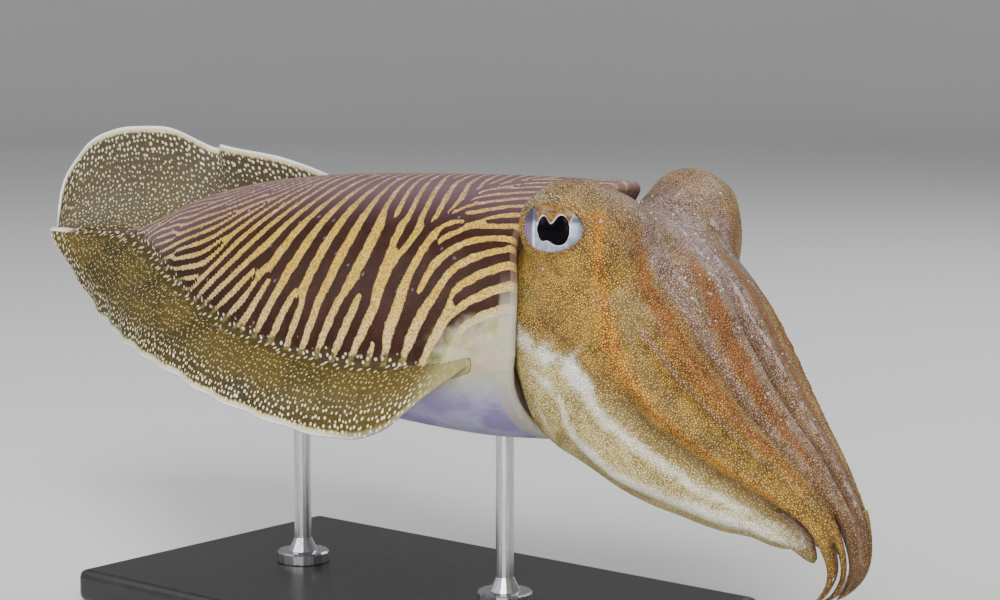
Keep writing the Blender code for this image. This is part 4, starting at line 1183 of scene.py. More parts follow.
def mesh_object(
    name: str, skin: Surface, finishes: list[Material], slots: Array | None = None,
    outward: bool = True,
) -> Object:
    """A mesh object in the stand's frame.

    Args:
        name: Name of the object.
        skin: The surface, in the animal's frame.
        finishes: Its materials.
        slots: Material index of each face.
        outward: Whether the faces are turned to point out.

    Returns:
        The object, smooth shaded, with the surface's values as attributes.
    """
    mesh = bpy.data.meshes.new(name)
    mesh.from_pydata((skin.points + LOBE_TIP).tolist(), [], skin.faces)
    if outward:
        made = bmesh.new()
        made.from_mesh(mesh)
        bmesh.ops.recalc_face_normals(made, faces=made.faces)
        made.to_mesh(mesh)
        made.free()
    for finish in finishes:
        mesh.materials.append(finish)
    if slots is not None:
        mesh.polygons.foreach_set("material_index", slots)
    for key, value in skin.values.items():
        mesh.attributes.new(key, "FLOAT", "POINT").data.foreach_set("value", value.astype(np.float32))
    mesh.shade_smooth()
    return placed(name, mesh)


Value = "Wire | float"


class Wire:
    """An output socket of a shader, with arithmetic."""

    def __init__(self, graph: Graph, socket: NodeSocket) -> None:
        """Keeps the socket and the graph that it belongs to."""
        self.graph, self.socket = graph, socket

    def math(self, operation: str, *values: Value) -> Wire:
        """A Math node with this wire's graph."""
        return self.graph.math(operation, *values)

    def __add__(self, other: Value) -> Wire:
        """self + other."""
        return self.math("ADD", self, other)

    __radd__ = __add__

    def __sub__(self, other: Value) -> Wire:
        """self - other."""
        return self.math("SUBTRACT", self, other)

    def __rsub__(self, other: Value) -> Wire:
        """other - self."""
        return self.math("SUBTRACT", other, self)

    def __mul__(self, other: Value) -> Wire:
        """self * other."""
        return self.math("MULTIPLY", self, other)

    __rmul__ = __mul__

    def __truediv__(self, other: Value) -> Wire:
        """self / other."""
        return self.math("DIVIDE", self, other)

    def step(self, low: float, high: float) -> Wire:
        """0 below low, 1 above high and smooth between; low may be the larger."""
        sockets = {"Value": self, "From Min": low, "From Max": high}
        if low > high:
            sockets = {"Value": self, "From Min": high, "From Max": low, "To Min": 1.0, "To Max": 0.0}
        return self.graph.node("ShaderNodeMapRange", {"interpolation_type": "SMOOTHSTEP"}, sockets)

    def clamp(self) -> Wire:
        """self kept between 0 and 1."""
        return self.graph.node("ShaderNodeClamp", {}, {"Value": self})


class Graph:
    """The node tree of one material."""

    def __init__(self, name: str) -> None:
        """Starts an empty material."""
        self.material = bpy.data.materials.new(name)
        self.material.use_nodes = True
        self.tree = self.material.node_tree
        self.tree.nodes.clear()

    def node(self, kind: str, settings: Settings, sockets: Sockets, output: str | int = 0) -> Wire:
        """Makes a node.

        Args:
            kind: Its type.
            settings: Its properties, which are set first.
            sockets: Input sockets by name or place, each a wire or a value.
            output: The output that is returned.

        Returns:
            The output as a wire.
        """
        plain = {key: value.socket if isinstance(value, Wire) else value for key, value in sockets.items()}
        return Wire(self, add_node(self.tree, kind, settings, plain).outputs[output])

    def math(self, operation: str, *values: Value) -> Wire:
        """A Math node of any operation."""
        return self.node("ShaderNodeMath", {"operation": operation}, dict(enumerate(values)))

    def attribute(self, name: str) -> Wire:
        """A per-point value of the mesh."""
        return self.node("ShaderNodeAttribute", {"attribute_name": name}, {}, "Fac")

    def place(self) -> Wire:
        """Object coordinates."""
        return self.node("ShaderNodeTexCoord", {}, {}, "Object")

    def combine(self, x: Value, y: Value, z: Value) -> Wire:
        """A vector of three values."""
        return self.node("ShaderNodeCombineXYZ", {}, {0: x, 1: y, 2: z})

    def shift(self, vector: Wire, other: Wire, scale: float) -> Wire:
        """vector + (other - 0.5) * scale, for warping a texture by a noise's colour."""
        kind = "ShaderNodeVectorMath"
        centred = self.node(kind, {"operation": "SUBTRACT"}, {0: other, 1: (0.5, 0.5, 0.5)})
        scaled = self.node(kind, {"operation": "SCALE"}, {0: centred, "Scale": scale})
        return self.node(kind, {"operation": "ADD"}, {0: vector, 1: scaled})

    def mix(self, factor: Value, first: object, second: object) -> Wire:
        """A colour between first and second."""
        settings = {"data_type": "RGBA", "clamp_factor": True}
        return self.node("ShaderNodeMix", settings, {0: factor, 6: first, 7: second}, 2)

    def layers(self, colour: object, *tints: tuple[Value, object]) -> Wire:
        """Lays (strength, colour) tints over a colour, one after another."""
        for strength, tint in tints:
            colour = self.mix(strength, colour, tint)
        return colour

    def noise(self, vector: Wire, size: float, detail: float = 2.0, output: str = "Fac") -> Wire:
        """Noise whose features are about this large in metres."""
        sockets = {"Vector": vector, "Scale": 1 / size, "Detail": detail}
        return self.node("ShaderNodeTexNoise", {}, sockets, output)

    def cells(
        self, vector: Wire, size: float, feature: str = "F1", output: str = "Distance",
        flat: bool = False, randomness: float = 1.0,
    ) -> Wire:
        """Voronoi cells this wide in metres; distances are in cells."""
        settings = {"feature": feature, "voronoi_dimensions": "2D" if flat else "3D"}
        sockets = {"Vector": vector, "Scale": 1 / size, "Randomness": randomness}
        return self.node("ShaderNodeTexVoronoi", settings, sockets, output)

    def pick(
        self, vector: Wire, size: float, channel: int, flat: bool = False, randomness: float = 1.0,
    ) -> Wire:
        """A value between 0 and 1 that each of the same cells has for itself."""
        colour = self.cells(vector, size, "F1", "Color", flat, randomness)
        return self.node("ShaderNodeSeparateColor", {}, {0: colour}, channel)

    def bump(self, *layers: tuple[Wire, float]) -> Wire:
        """Relief of these (height, depth in metres) layers."""
        total = layers[0][0] * layers[0][1]
        for height, depth in layers[1:]:
            total = total + height * depth
        return self.node("ShaderNodeBump", {}, {"Height": total, "Distance": 1.0, "Strength": 1.0})

    def finish(self, constants: dict[str, object], varied: dict[str, Wire]) -> Material:
        """Ends the tree in a Principled shader.

        Args:
            constants: Input values.
            varied: Inputs that vary over the surface.

        Returns:
            The material.
        """
        shader = self.node("ShaderNodeBsdfPrincipled", {}, {**constants, **varied})
        add_node(self.tree, "ShaderNodeOutputMaterial", {}, {"Surface": shader.socket})
        return self.material


def flesh(specular: float, coat: float, coat_roughness: float, depth: float) -> dict[str, object]:
    """Shader values of moist skin that lets a little light in."""
    return {
        "IOR": 1.4, "Specular IOR Level": specular, "Coat Weight": coat, "Coat Roughness": coat_roughness,
        "Subsurface Weight": depth, "Subsurface Scale": 0.002, "Subsurface Radius": (1.0, 0.6, 0.4),
    }


@dataclass(frozen=True)
class MantleFinish:
    """Colours and sizes of the mantle's and fins' markings."""

    flank_light: Triple = (0.64, 0.42, 0.06)
    flank_dark: Triple = (0.024, 0.006, 0.002)
    # The back's violet-grey tones are the skin's own violet with painted sheen on top.
    back_light_and_sheen: Triple = (0.44, 0.31, 0.21)
    back_dark_and_sheen: Triple = (0.125, 0.075, 0.095)
    lower_light: Triple = (0.72, 0.56, 0.28)
    front_green: Triple = (0.33, 0.35, 0.14)
    front_pale: Triple = (0.45, 0.43, 0.3)
    fin_end: Triple = (0.24, 0.21, 0.085)
    front_pink: Triple = (0.46, 0.32, 0.29)
    speckle: Triple = (0.16, 0.065, 0.014)
    sparkle: Triple = (0.74, 0.72, 0.8)
    fin_ground: Triple = (0.047, 0.032, 0.006)
    fin_dark: Triple = (0.03, 0.022, 0.006)
    fin_gold: Triple = (0.088, 0.06, 0.01)
    fin_grey: Triple = (0.1, 0.088, 0.062)
    fin_low_dot: Triple = (0.46, 0.37, 0.17)
    fin_dot: Triple = (0.76, 0.7, 0.48)
    root_dot: Triple = (0.62, 0.53, 0.38)
    fin_margin: Triple = (0.7, 0.62, 0.36)
    fin_rim: Triple = (0.78, 0.84, 0.92)
    belly: Triple = (0.26, 0.22, 0.42)
    belly_pale: Triple = (0.41, 0.41, 0.55)
    tail_tip: Triple = (0.8, 0.7, 0.62)
    margin: Triple = (0.4, 0.37, 0.3)
    lobe_margin: Triple = (0.26, 0.155, 0.12)
    inside: Triple = (0.36, 0.28, 0.26)
    dark_fleck: Triple = (0.11, 0.045, 0.028)
    dark_grain: Triple = (0.18, 0.08, 0.03)
    pale_fleck: Triple = (0.74, 0.58, 0.22)
    fin_grain: Triple = (0.36, 0.26, 0.1)
    front_grain: Triple = (0.26, 0.19, 0.06)
    belly_dot: Triple = (0.36, 0.25, 0.38)
    grain_size: float = 0.00075
    mark_size: float = 0.0085
    dot_size: float = 0.00185
    dot_spread: float = 0.72
    root_dot_size: float = 0.0029
    root_dot_spread: float = 0.9

    def stripes(self, g: Graph, on_back: Wire, to_root: Wire) -> tuple[Wire, Wire]:
        """The stripes' colour.

        Args:
            g: The material's graph.
            on_back: How far up the back a point is.
            to_root: Distance above the fin's root.

        Returns:
            The colour, and 1 on light stripes.
        """
        place = g.place()
        re, im = g.attribute("wave_re"), g.attribute("wave_im")
        wave = re / g.math("SQRT", re * re + im * im + 1e-6)
        grain = g.cells(place, self.grain_size)
        ragged = (g.noise(place, 0.0036, 3.0) - 0.5) * 1.15 + (grain - 0.45) * 0.42
        by_fin = to_root.step(0.008, 0.0025) * 0.3
        broad = g.noise(place, 0.03, 1.0).step(0.45, 0.7) * 0.16
        light = (wave + ragged - 0.12 - on_back * 0.26 - by_fin - broad).step(-0.06, 0.24)
        # On the back both stripes turn violet-grey: the skin's own violet and painted sheen.
        dark = g.layers(
            self.flank_dark, (on_back, self.back_dark_and_sheen),
            (g.noise(place, 0.007, 3.0).step(0.44, 0.7) * 0.14, self.dark_fleck),
            (grain.step(0.34, 0.12) * 0.2, self.dark_grain),
        )
        pale = g.layers(
            self.flank_light, (on_back, self.back_light_and_sheen),
            (to_root.step(0.026, 0.006) * 0.7, self.lower_light),
            (g.noise(place, 0.005).step(0.48, 0.72) * 0.45, self.pale_fleck),
            (grain.step(0.36, 0.6) * 0.62, self.speckle),
        )
        return g.mix(light, dark, pale), light

    def fin(self, g: Graph, warp: Wire) -> Wire:
        """The fin's colour: small cream dots on olive, denser and longer near the pale margin.

        Args:
            g: The material's graph.
            warp: A noise's colour that bends the rows of dots.

        Returns:
            The colour.
        """
        place = g.place()
        fin, edge, along = (g.attribute(name) for name in ("fin", "fin_edge", "fin_along"))
        station, left = g.attribute("along"), g.attribute("across").step(0.0, -0.001)
        gold = g.noise(place, 0.026, 1.0).step(0.44, 0.62) * fin.step(0.95, 0.45) * 0.8
        ground = g.layers(
            self.fin_ground, (g.noise(place, 0.008).step(0.38, 0.64), self.fin_dark),
            (gold, self.fin_gold), (station.step(-0.11, -0.05) * 0.7, self.fin_gold),
            (left * 0.6, self.fin_grey),
            (g.cells(place, self.grain_size).step(0.4, 0.15) * 0.3, self.fin_grain),
        )
        bent = g.shift(g.combine(along, edge * 0.92, 0.0), warp, 0.0006)
        near_edge = edge.step(0.012, 0.004)
        dots = g.cells(bent, self.dot_size, flat=True, randomness=self.dot_spread)
        pick = g.pick(bent, self.dot_size, 1, True, self.dot_spread)
        dot = (0.155 + 0.11 * pick + 0.075 * near_edge + 0.02 * left - dots).step(0.0, 0.11)
        dot_colour = g.mix(near_edge + left * 0.6, self.fin_low_dot, self.fin_dot)
        fade = station.step(-0.05, -0.085)
        wavy = edge + (g.noise(g.combine(along, 0.0, 0.0), 0.0016, 3.0) - 0.5) * 0.003
        underside = g.math("ABSOLUTE", g.attribute("turn")).step(1.575, 1.6) * edge.step(0.0004, 0.0016)
        return g.layers(
            ground, (dot, dot_colour),
            (wavy.step(0.0021, 0.001) * (0.2 + 0.7 * fade), self.fin_margin),
            (edge.step(0.0006, 0.0002) * (0.15 + 0.75 * fade), self.fin_rim),
            (underside * 0.72, self.belly_pale), (station.step(-0.044, -0.034) * 0.9, self.fin_end),
        )

    def build(self) -> Material:
        """Makes the material.

        Returns:
            The body's skin.
        """
        g = Graph("body_skin")
        place = g.place()
        along, across, fin = (g.attribute(name) for name in ("along", "across", "fin"))
        to_root, rim, turn = (g.attribute(name) for name in ("to_root", "rim", "turn"))
        from_dorsal = g.math("ABSOLUTE", turn)
        flat = g.combine(along, across, 0.0)
        warp = g.noise(flat, 0.0035, 2.0, "Color")
        on_back = g.math("ABSOLUTE", across).step(0.044, 0.016)
        on_fin, off_fin = fin.step(0.004, 0.03), 1 - fin.step(0.0, 0.02)
        colour, light = self.stripes(g, on_back, to_root)
        # Small white marks, most of them on the back.
        bent = g.shift(flat, warp, 0.002)
        mark = g.cells(bent, self.mark_size, flat=True).step(0.11, 0.03)
        mark = mark * g.pick(bent, self.mark_size, 0, True).step(0.72, 0.84)
        mark = mark * off_fin * (0.12 + 0.42 * on_back)
        # Low in front the stripes give way to a greenish white patch.
        low_front = along.step(-0.06, -0.026) * from_dorsal.step(1.14, 1.46) * off_fin
        patch = (low_front + (g.noise(place, 0.005) - 0.5) * 0.6).step(0.34, 0.9)
        opal = g.layers(
            self.front_green, (g.noise(place, 0.006).step(0.4, 0.6), self.front_pale),
            (g.noise(place, 0.009).step(0.52, 0.66) * 0.6, self.front_pink),
            (g.cells(place, self.grain_size).step(0.4, 0.14) * 0.35, self.front_grain),
        )
        # Beside the fin the stripes end in rows of larger dots, which go on a little onto the fin.
        behind_front = along.step(-0.044, -0.056)
        root_zone = (to_root + (g.noise(flat, 0.005) - 0.5) * 0.01).step(0.004, 0.0022)
        root_zone = root_zone * behind_front
        ground = g.mix(g.noise(place, 0.004).step(0.4, 0.62), self.fin_ground, self.fin_dark)
        rows = g.shift(g.combine(along, to_root, 0.0), warp, 0.0008)
        row_cells = g.cells(rows, self.root_dot_size, flat=True, randomness=self.root_dot_spread)
        spot = (row_cells + (g.noise(flat, 0.003, 1.0) - 0.5) * 0.22).step(0.26, 0.16)
        near_root = (fin + (g.noise(flat, 0.004, 1.0) - 0.5) * 0.1).step(0.16, 0.06)
        spotted = g.mix(spot * 0.8, g.mix(0.3, ground, self.fin_gold), self.root_dot)
        fin_colour = g.mix(near_root * behind_front, self.fin(g, warp), spotted)
        # The belly starts under the fin's root.
        belly = g.layers(
            self.belly, (g.noise(place, 0.015, 3.0).step(0.4, 0.62) * 0.7, self.belly_pale),
            (g.cells(place, 0.0016).step(0.3, 0.12) * 0.3, self.belly_dot),
            (along.step(-0.05, -0.025) * from_dorsal.step(2.1, 1.7) * 0.6, self.front_green),
        )
        tail = along.step(-0.28, -0.291) * (1 - fin.step(0.02, 0.1))
        colour = g.layers(
            colour, (mark, self.sparkle), (patch * 0.88, opal), (root_zone * 0.8, ground),
            (root_zone * spot, self.root_dot), (on_fin, fin_colour),
            (from_dorsal.step(1.6, 1.8) * off_fin, belly), (tail, self.tail_tip),
        )
        # Front margin and the inside of the mantle's opening.
        low = from_dorsal.step(1.0, 1.35)
        strip = g.mix(low, g.mix(0.6, colour, self.lobe_margin), self.margin)
        colour = g.layers(
            colour, (along.step(-0.017, -0.0152) * low * 0.75, strip), (rim.step(0.1, 0.45), strip),
            (rim.step(0.85, 1.02), self.inside),
        )
        fine, lumps = g.noise(place, 0.0006), g.noise(place, 0.0055)
        relief = g.bump((light * (1 - on_fin), 0.0001), (fine, 0.00016), (lumps, 0.0004), (mark, 0.0003))
        rough = (0.5 + 0.12 * fine).clamp()
        varied = {"Base Color": colour, "Roughness": rough, "Normal": relief}
        return g.finish(flesh(0.22, 0.04, 0.22, 0.04), varied)


@dataclass(frozen=True)
class HeadFinish:
    """Colours and sizes of the head's, arms' and funnel's markings."""

    gold: Triple = (0.46, 0.285, 0.046)
    olive: Triple = (0.25, 0.185, 0.042)
    amber: Triple = (0.56, 0.33, 0.06)
    cell: float = 0.00074
    network: Triple = (0.07, 0.026, 0.005)
    low_network: Triple = (0.16, 0.1, 0.02)
    orange: Triple = (0.62, 0.215, 0.014)
    brown: Triple = (0.34, 0.115, 0.022)
    violet: Triple = (0.29, 0.2, 0.245)
    violet_pale: Triple = (0.42, 0.345, 0.39)
    keel: Triple = (0.54, 0.47, 0.52)
    pale: Triple = (0.98, 0.97, 0.86)
    cream: Triple = (0.78, 0.66, 0.31)
    shade: Triple = (0.135, 0.095, 0.03)
    sucker_face: Triple = (0.62, 0.47, 0.38)
    funnel: Triple = (0.52, 0.46, 0.5)
    lid: Triple = (0.17, 0.062, 0.016)
    # Painted shade round the eyes' openings.
    green: Triple = (0.4, 0.45, 0.33)
    cream_dark: Triple = (0.42, 0.32, 0.105)
    orange_pale: Triple = (0.68, 0.34, 0.04)
    # Painted shade for the grooves between the arms.
    groove: Triple = (0.085, 0.038, 0.014)
    cell_gold: Triple = (0.86, 0.56, 0.15)
    cell_cream: Triple = (0.97, 0.9, 0.58)
    crown_dot: Triple = (0.12, 0.05, 0.022)
    sucker_dark: Triple = (0.4, 0.26, 0.19)
    neck: Triple = (0.34, 0.26, 0.22)
    funnel_dot: Triple = (0.22, 0.13, 0.14)
    mark_size: float = 0.007

    def build(self) -> Material:
        """Makes the material.

        Returns:
            The head's skin.
        """
        g = Graph("head_skin_fine")
        place = g.place()
        s, turn, share = (g.attribute(name) for name in ("along", "turn", "share"))
        from_top = g.math("ABSOLUTE", turn)
        warp = g.noise(place, 0.003, 2.0, "Color")
        bent = g.shift(place, warp, 0.0006)
        wide_warp = g.shift(place, g.noise(place, 0.009, 2.0, "Color"), 0.005)
        blotch = g.noise(wide_warp, 0.0065, 3.0)
        broad, small = g.noise(place, 0.017), g.noise(place, 0.0018)
        torn = (small - 0.5) * 0.3 + (blotch - 0.5) * 0.7

        def band(name: str) -> Wire:
            """A band with torn edges."""
            return (g.attribute(name) + torn).step(0.26, 0.74)

        # The cheek and the lowest arms are cream with gold, and the grooves between the arms get painted
        # shade.
        under = (from_top + torn * 0.25).step(1.5, 1.78)
        crest = from_top.step(0.95, 0.25)
        mauve = g.mix(small.step(0.4, 0.6), self.violet, self.violet_pale)
        fiery = g.mix(blotch.step(0.3, 0.7), self.orange, self.orange_pale)
        # Painted shade where the skin sinks into the grooves between the arms.
        groove = share.step(0.975, 0.88) * s.step(0.056, 0.07)
        # White patches lie on the cheek, with streaks along the lowest arm and pale lines on the keels.
        white = (g.attribute("pale") + (blotch - 0.5) * 1.1 + (small - 0.5) * 0.5).step(0.2, 0.95)
        keel = g.attribute("keel") + (g.noise(place, 0.004) - 0.5) * 1.9 + (small - 0.5) * 0.6
        keel = keel.step(0.52, 0.86)
        colour = g.layers(
            self.olive, (blotch.step(0.34, 0.66), self.gold), (broad.step(0.46, 0.66) * 0.7, self.amber),
            (under * 0.9, g.mix(blotch.step(0.44, 0.66), self.cream, self.cream_dark)),
            (crest * 0.5, mauve), (g.attribute("shade") * 0.8, self.shade), (band("violet") * 0.6, mauve),
            (band("brown") * 0.85, self.brown), (band("orange") * 0.92, fiery),
            (g.attribute("green") * (0.4 + blotch) * 0.8, self.green), (groove * 0.7, self.groove),
            # The eye rim tint below is painted shade round the eyes' openings.
            (white * 0.95, self.pale), (keel * 0.42, self.keel), (g.attribute("lid") * 0.55, self.lid),
        )
        # The fine dark network round light cells lies over all of it.
        net = g.cells(bent, self.cell, "DISTANCE_TO_EDGE")
        strength = 0.68 + 0.22 * g.noise(place, 0.007).step(0.34, 0.62)
        strength = strength * (1 - 0.45 * white) * (1 - 0.5 * keel)
        lit = g.cells(bent, self.cell).step(0.4, 0.16) * 0.36 * (1 - 0.5 * white) * (1 - 0.6 * crest)
        top_dots = g.cells(g.shift(place, warp, 0.0008), 0.0021).step(0.3, 0.16)
        mark = g.cells(wide_warp, self.mark_size).step(0.13, 0.05)
        mark = mark * g.pick(wide_warp, self.mark_size, 0).step(0.55, 0.7) * from_top.step(1.5, 1.1)
        face = g.mix(g.noise(place, 0.0022).step(0.4, 0.6), self.sucker_face, self.sucker_dark)
        siphon = g.mix(g.cells(place, 0.0016).step(0.34, 0.16) * 0.6, self.funnel, self.funnel_dot)
        colour = g.layers(
            colour, (net.step(0.27, 0.08) * strength, g.mix(under, self.network, self.low_network)),
            (lit, g.mix(under, self.cell_gold, self.cell_cream)),
            (top_dots * g.attribute("crown_top") * 0.75, self.crown_dot), (mark * 0.7, self.keel),
            (g.attribute("inner"), face), (s.step(0.008, 0.002) * 0.5, self.neck),
            (g.attribute("funnel"), siphon),
        )
        fine = g.noise(place, 0.0006)
        relief = g.bump(
            (net.step(0.02, 0.22), 0.00016), (fine, 0.00014), (blotch, 0.0006), (keel, 0.0004),
            (mark, 0.0004),
        )
        rough = (0.46 + 0.14 * fine - 0.06 * white).clamp()
        varied = {"Base Color": colour, "Roughness": rough, "Normal": relief}
        return g.finish(flesh(0.32, 0.08, 0.2, 0.05), varied)


@dataclass(frozen=True)
class EyeballFinish:
    """The eyeball: silver round the pupil, with a violet crescent behind it, a painted highlight arc beside
    the crescent, and painted shade above.
    """

    silver: Triple = (0.33, 0.38, 0.49)
    blue: Triple = (0.085, 0.13, 0.23)
    violet: Triple = (0.17, 0.13, 0.23)
    lilac: Triple = (0.34, 0.28, 0.42)
    shade: Triple = (0.026, 0.024, 0.06)
    # White of the pupil's edge, and of the painted highlight arc.
    line: Triple = (0.84, 0.86, 0.88)
    brown: Triple = (0.2, 0.085, 0.03)
    arc_place: float = -0.0078
    arc_bend: float = 16.0

    def build(self) -> Material:
        """Makes the material.

        Returns:
            The eyeball's finish, read from the ball's own attributes.
        """
        g = Graph("eyeball")
        ring, pupil, turn = (g.attribute(name) for name in ("ring", "pupil", "side_turn"))
        along, above = g.attribute("ahead"), g.attribute("above")
        fibres = g.combine(turn * 0.004, ring * 0.0016, 0.0)
        streak = g.noise(fibres, 0.0008, 3.0)
        away = pupil.step(0.0006, 0.0038)
        arc = along + above * above * self.arc_bend
        # A painted highlight: a narrow white arc beside the violet crescent.
        rim = g.math("ABSOLUTE", arc + 0.0074).step(0.0007, 0.0002)
        speckled = g.mix(g.cells(g.place(), 0.0007).step(0.4, 0.16) * 0.6, self.violet, self.lilac)
        high_up = above.step(0.0002, 0.0034) * pupil.step(0.0004, 0.0018)
        edge = pupil.step(0.0007, 0.0003) * (0.35 + 0.65 * above.step(0.0005, 0.003))
        colour = g.layers(
            self.silver, (streak.step(0.36, 0.64) * 0.45, self.blue),
            (away * along.step(0.0, 0.006) * 0.85, self.blue),
            (arc.step(self.arc_place, -0.0086), speckled), (rim * 0.85, self.line),
            (high_up * 0.92, self.shade), (ring.step(0.92, 1.02) * 0.75, self.brown),
            (edge * streak.step(0.2, 0.4), self.line),
        )
        fine = g.noise(g.place(), 0.0004)
        relief = g.bump((streak, 0.00005), (fine, 0.00003))
        constants = {
            "Specular IOR Level": 0.4, "Coat Weight": 0.35, "Coat Roughness": 0.04, "Roughness": 0.42,
        }
        metal = 0.15 * ring.step(0.95, 0.75)
        return g.finish(constants, {"Base Color": colour, "Metallic": metal, "Normal": relief})


@dataclass(frozen=True)
class FlapFinish:
    """The golden-brown flap of the iris over the pupil, with its white edge."""

    gold: Triple = (0.21, 0.108, 0.018)
    dark: Triple = (0.085, 0.032, 0.007)
    edge: Triple = (0.84, 0.82, 0.76)
    glint: Triple = (0.46, 0.28, 0.075)

    def build(self) -> Material:
        """Makes the material."""
        g = Graph("iris_flap")
        place = g.place()
        grain = g.noise(place, 0.001, 3.0)
        colour = g.layers(
            self.gold, (grain.step(0.4, 0.62), self.dark),
            (g.cells(place, 0.0009).step(0.34, 0.14) * 0.5, self.glint),
            (g.attribute("lip").step(0.00075, 0.0003), self.edge),
        )
        relief = g.bump((grain, 0.0003))
        constants = {
            "Coat Weight": 0.15, "Coat Roughness": 0.15, "Roughness": 0.45, "Specular IOR Level": 0.3,
        }
        return g.finish(constants, {"Base Color": colour, "Normal": relief})


@dataclass(frozen=True)
class PlainFinish:
    """A finish of one colour, a little uneven."""

    name: str
    colour: Triple
    second: Triple
    roughness: float
    metallic: float = 0.0
    coat: float = 0.0
    specular: float = 0.5
    grain: float = 0.002
    stretch: float = 1.0

    def build(self) -> Material:
        """Makes the material."""
        g = Graph(self.name)
        place = g.place()
        parts = [g.node("ShaderNodeSeparateXYZ", {}, {0: place}, k) for k in range(3)]
        drawn = g.combine(parts[0], parts[1], parts[2] * self.stretch)
        uneven = g.noise(drawn, self.grain, 3.0)
        colour = g.mix(uneven.step(0.35, 0.65), self.colour, self.second)
        rough = (uneven - 0.5) * 0.12 + self.roughness
        relief = g.bump((uneven, 0.00002))
        constants = {
            "Metallic": self.metallic, "Coat Weight": self.coat, "Coat Roughness": 0.04,
            "Specular IOR Level": self.specular,
        }
        return g.finish(constants, {"Base Color": colour, "Roughness": rough, "Normal": relief})


PUPIL_FINISH = PlainFinish("pupil_gloss", (0.002, 0.002, 0.003), (0.003, 0.002, 0.003), 0.22, specular=0.04)
SUCKER_FINISH = PlainFinish(
    "sucker_skin", (0.72, 0.6, 0.52), (0.52, 0.37, 0.33), 0.38, coat=0.4, grain=0.0012,
)
PAPILLA_FINISH = PlainFinish(
    "papilla_white", (0.6, 0.55, 0.54), (0.46, 0.39, 0.38), 0.45, coat=0.1, grain=0.0012,
)
BASE_FINISH = PlainFinish("stand_satin", (0.012, 0.012, 0.013), (0.017, 0.017, 0.018), 0.36, grain=0.004)
ROD_FINISH = PlainFinish(
    "stand_steel", (0.58, 0.58, 0.59), (0.5, 0.5, 0.51), 0.28, 1.0, grain=0.0008, stretch=0.06,
)
FLOOR_FINISH = PlainFinish("studio_floor", (0.66, 0.66, 0.66), (0.67, 0.67, 0.67), 0.85, grain=0.5)


@dataclass
class Skin:
    """The one skin over all flesh: mantle, fins, head, arms and funnel."""

    mantle: Mantle = field(default_factory=Mantle)
    head: Head = field(default_factory=Head)
    body_finish: MantleFinish = MantleFinish()
    head_finish: HeadFinish = HeadFinish()
    nodes: tuple[str, ...] = (
        "mantle", "fin_left", "fin_right", "head", "funnel",
        *(
            f"arm_{n}_{side}_{part}"
            for n in range(1, 5) for side in ("left", "right") for part in ("base", "tip")
        ),
    )

    def build(self) -> Object:
        """Makes the skin and lets it stand for the solids' flesh."""
        body, head = self.mantle.surface(), self.head.surface()
        slots = np.repeat([0, 1], [len(body.faces), len(head.faces)])
        finishes = [self.body_finish.build(), self.head_finish.build()]
        skin = mesh_object("skin", join([body, head]), finishes, slots)
        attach(skin, ROOT)
        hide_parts(*self.nodes)
        LOG.info("skin: %d faces", len(skin.data.polygons))
        return skin


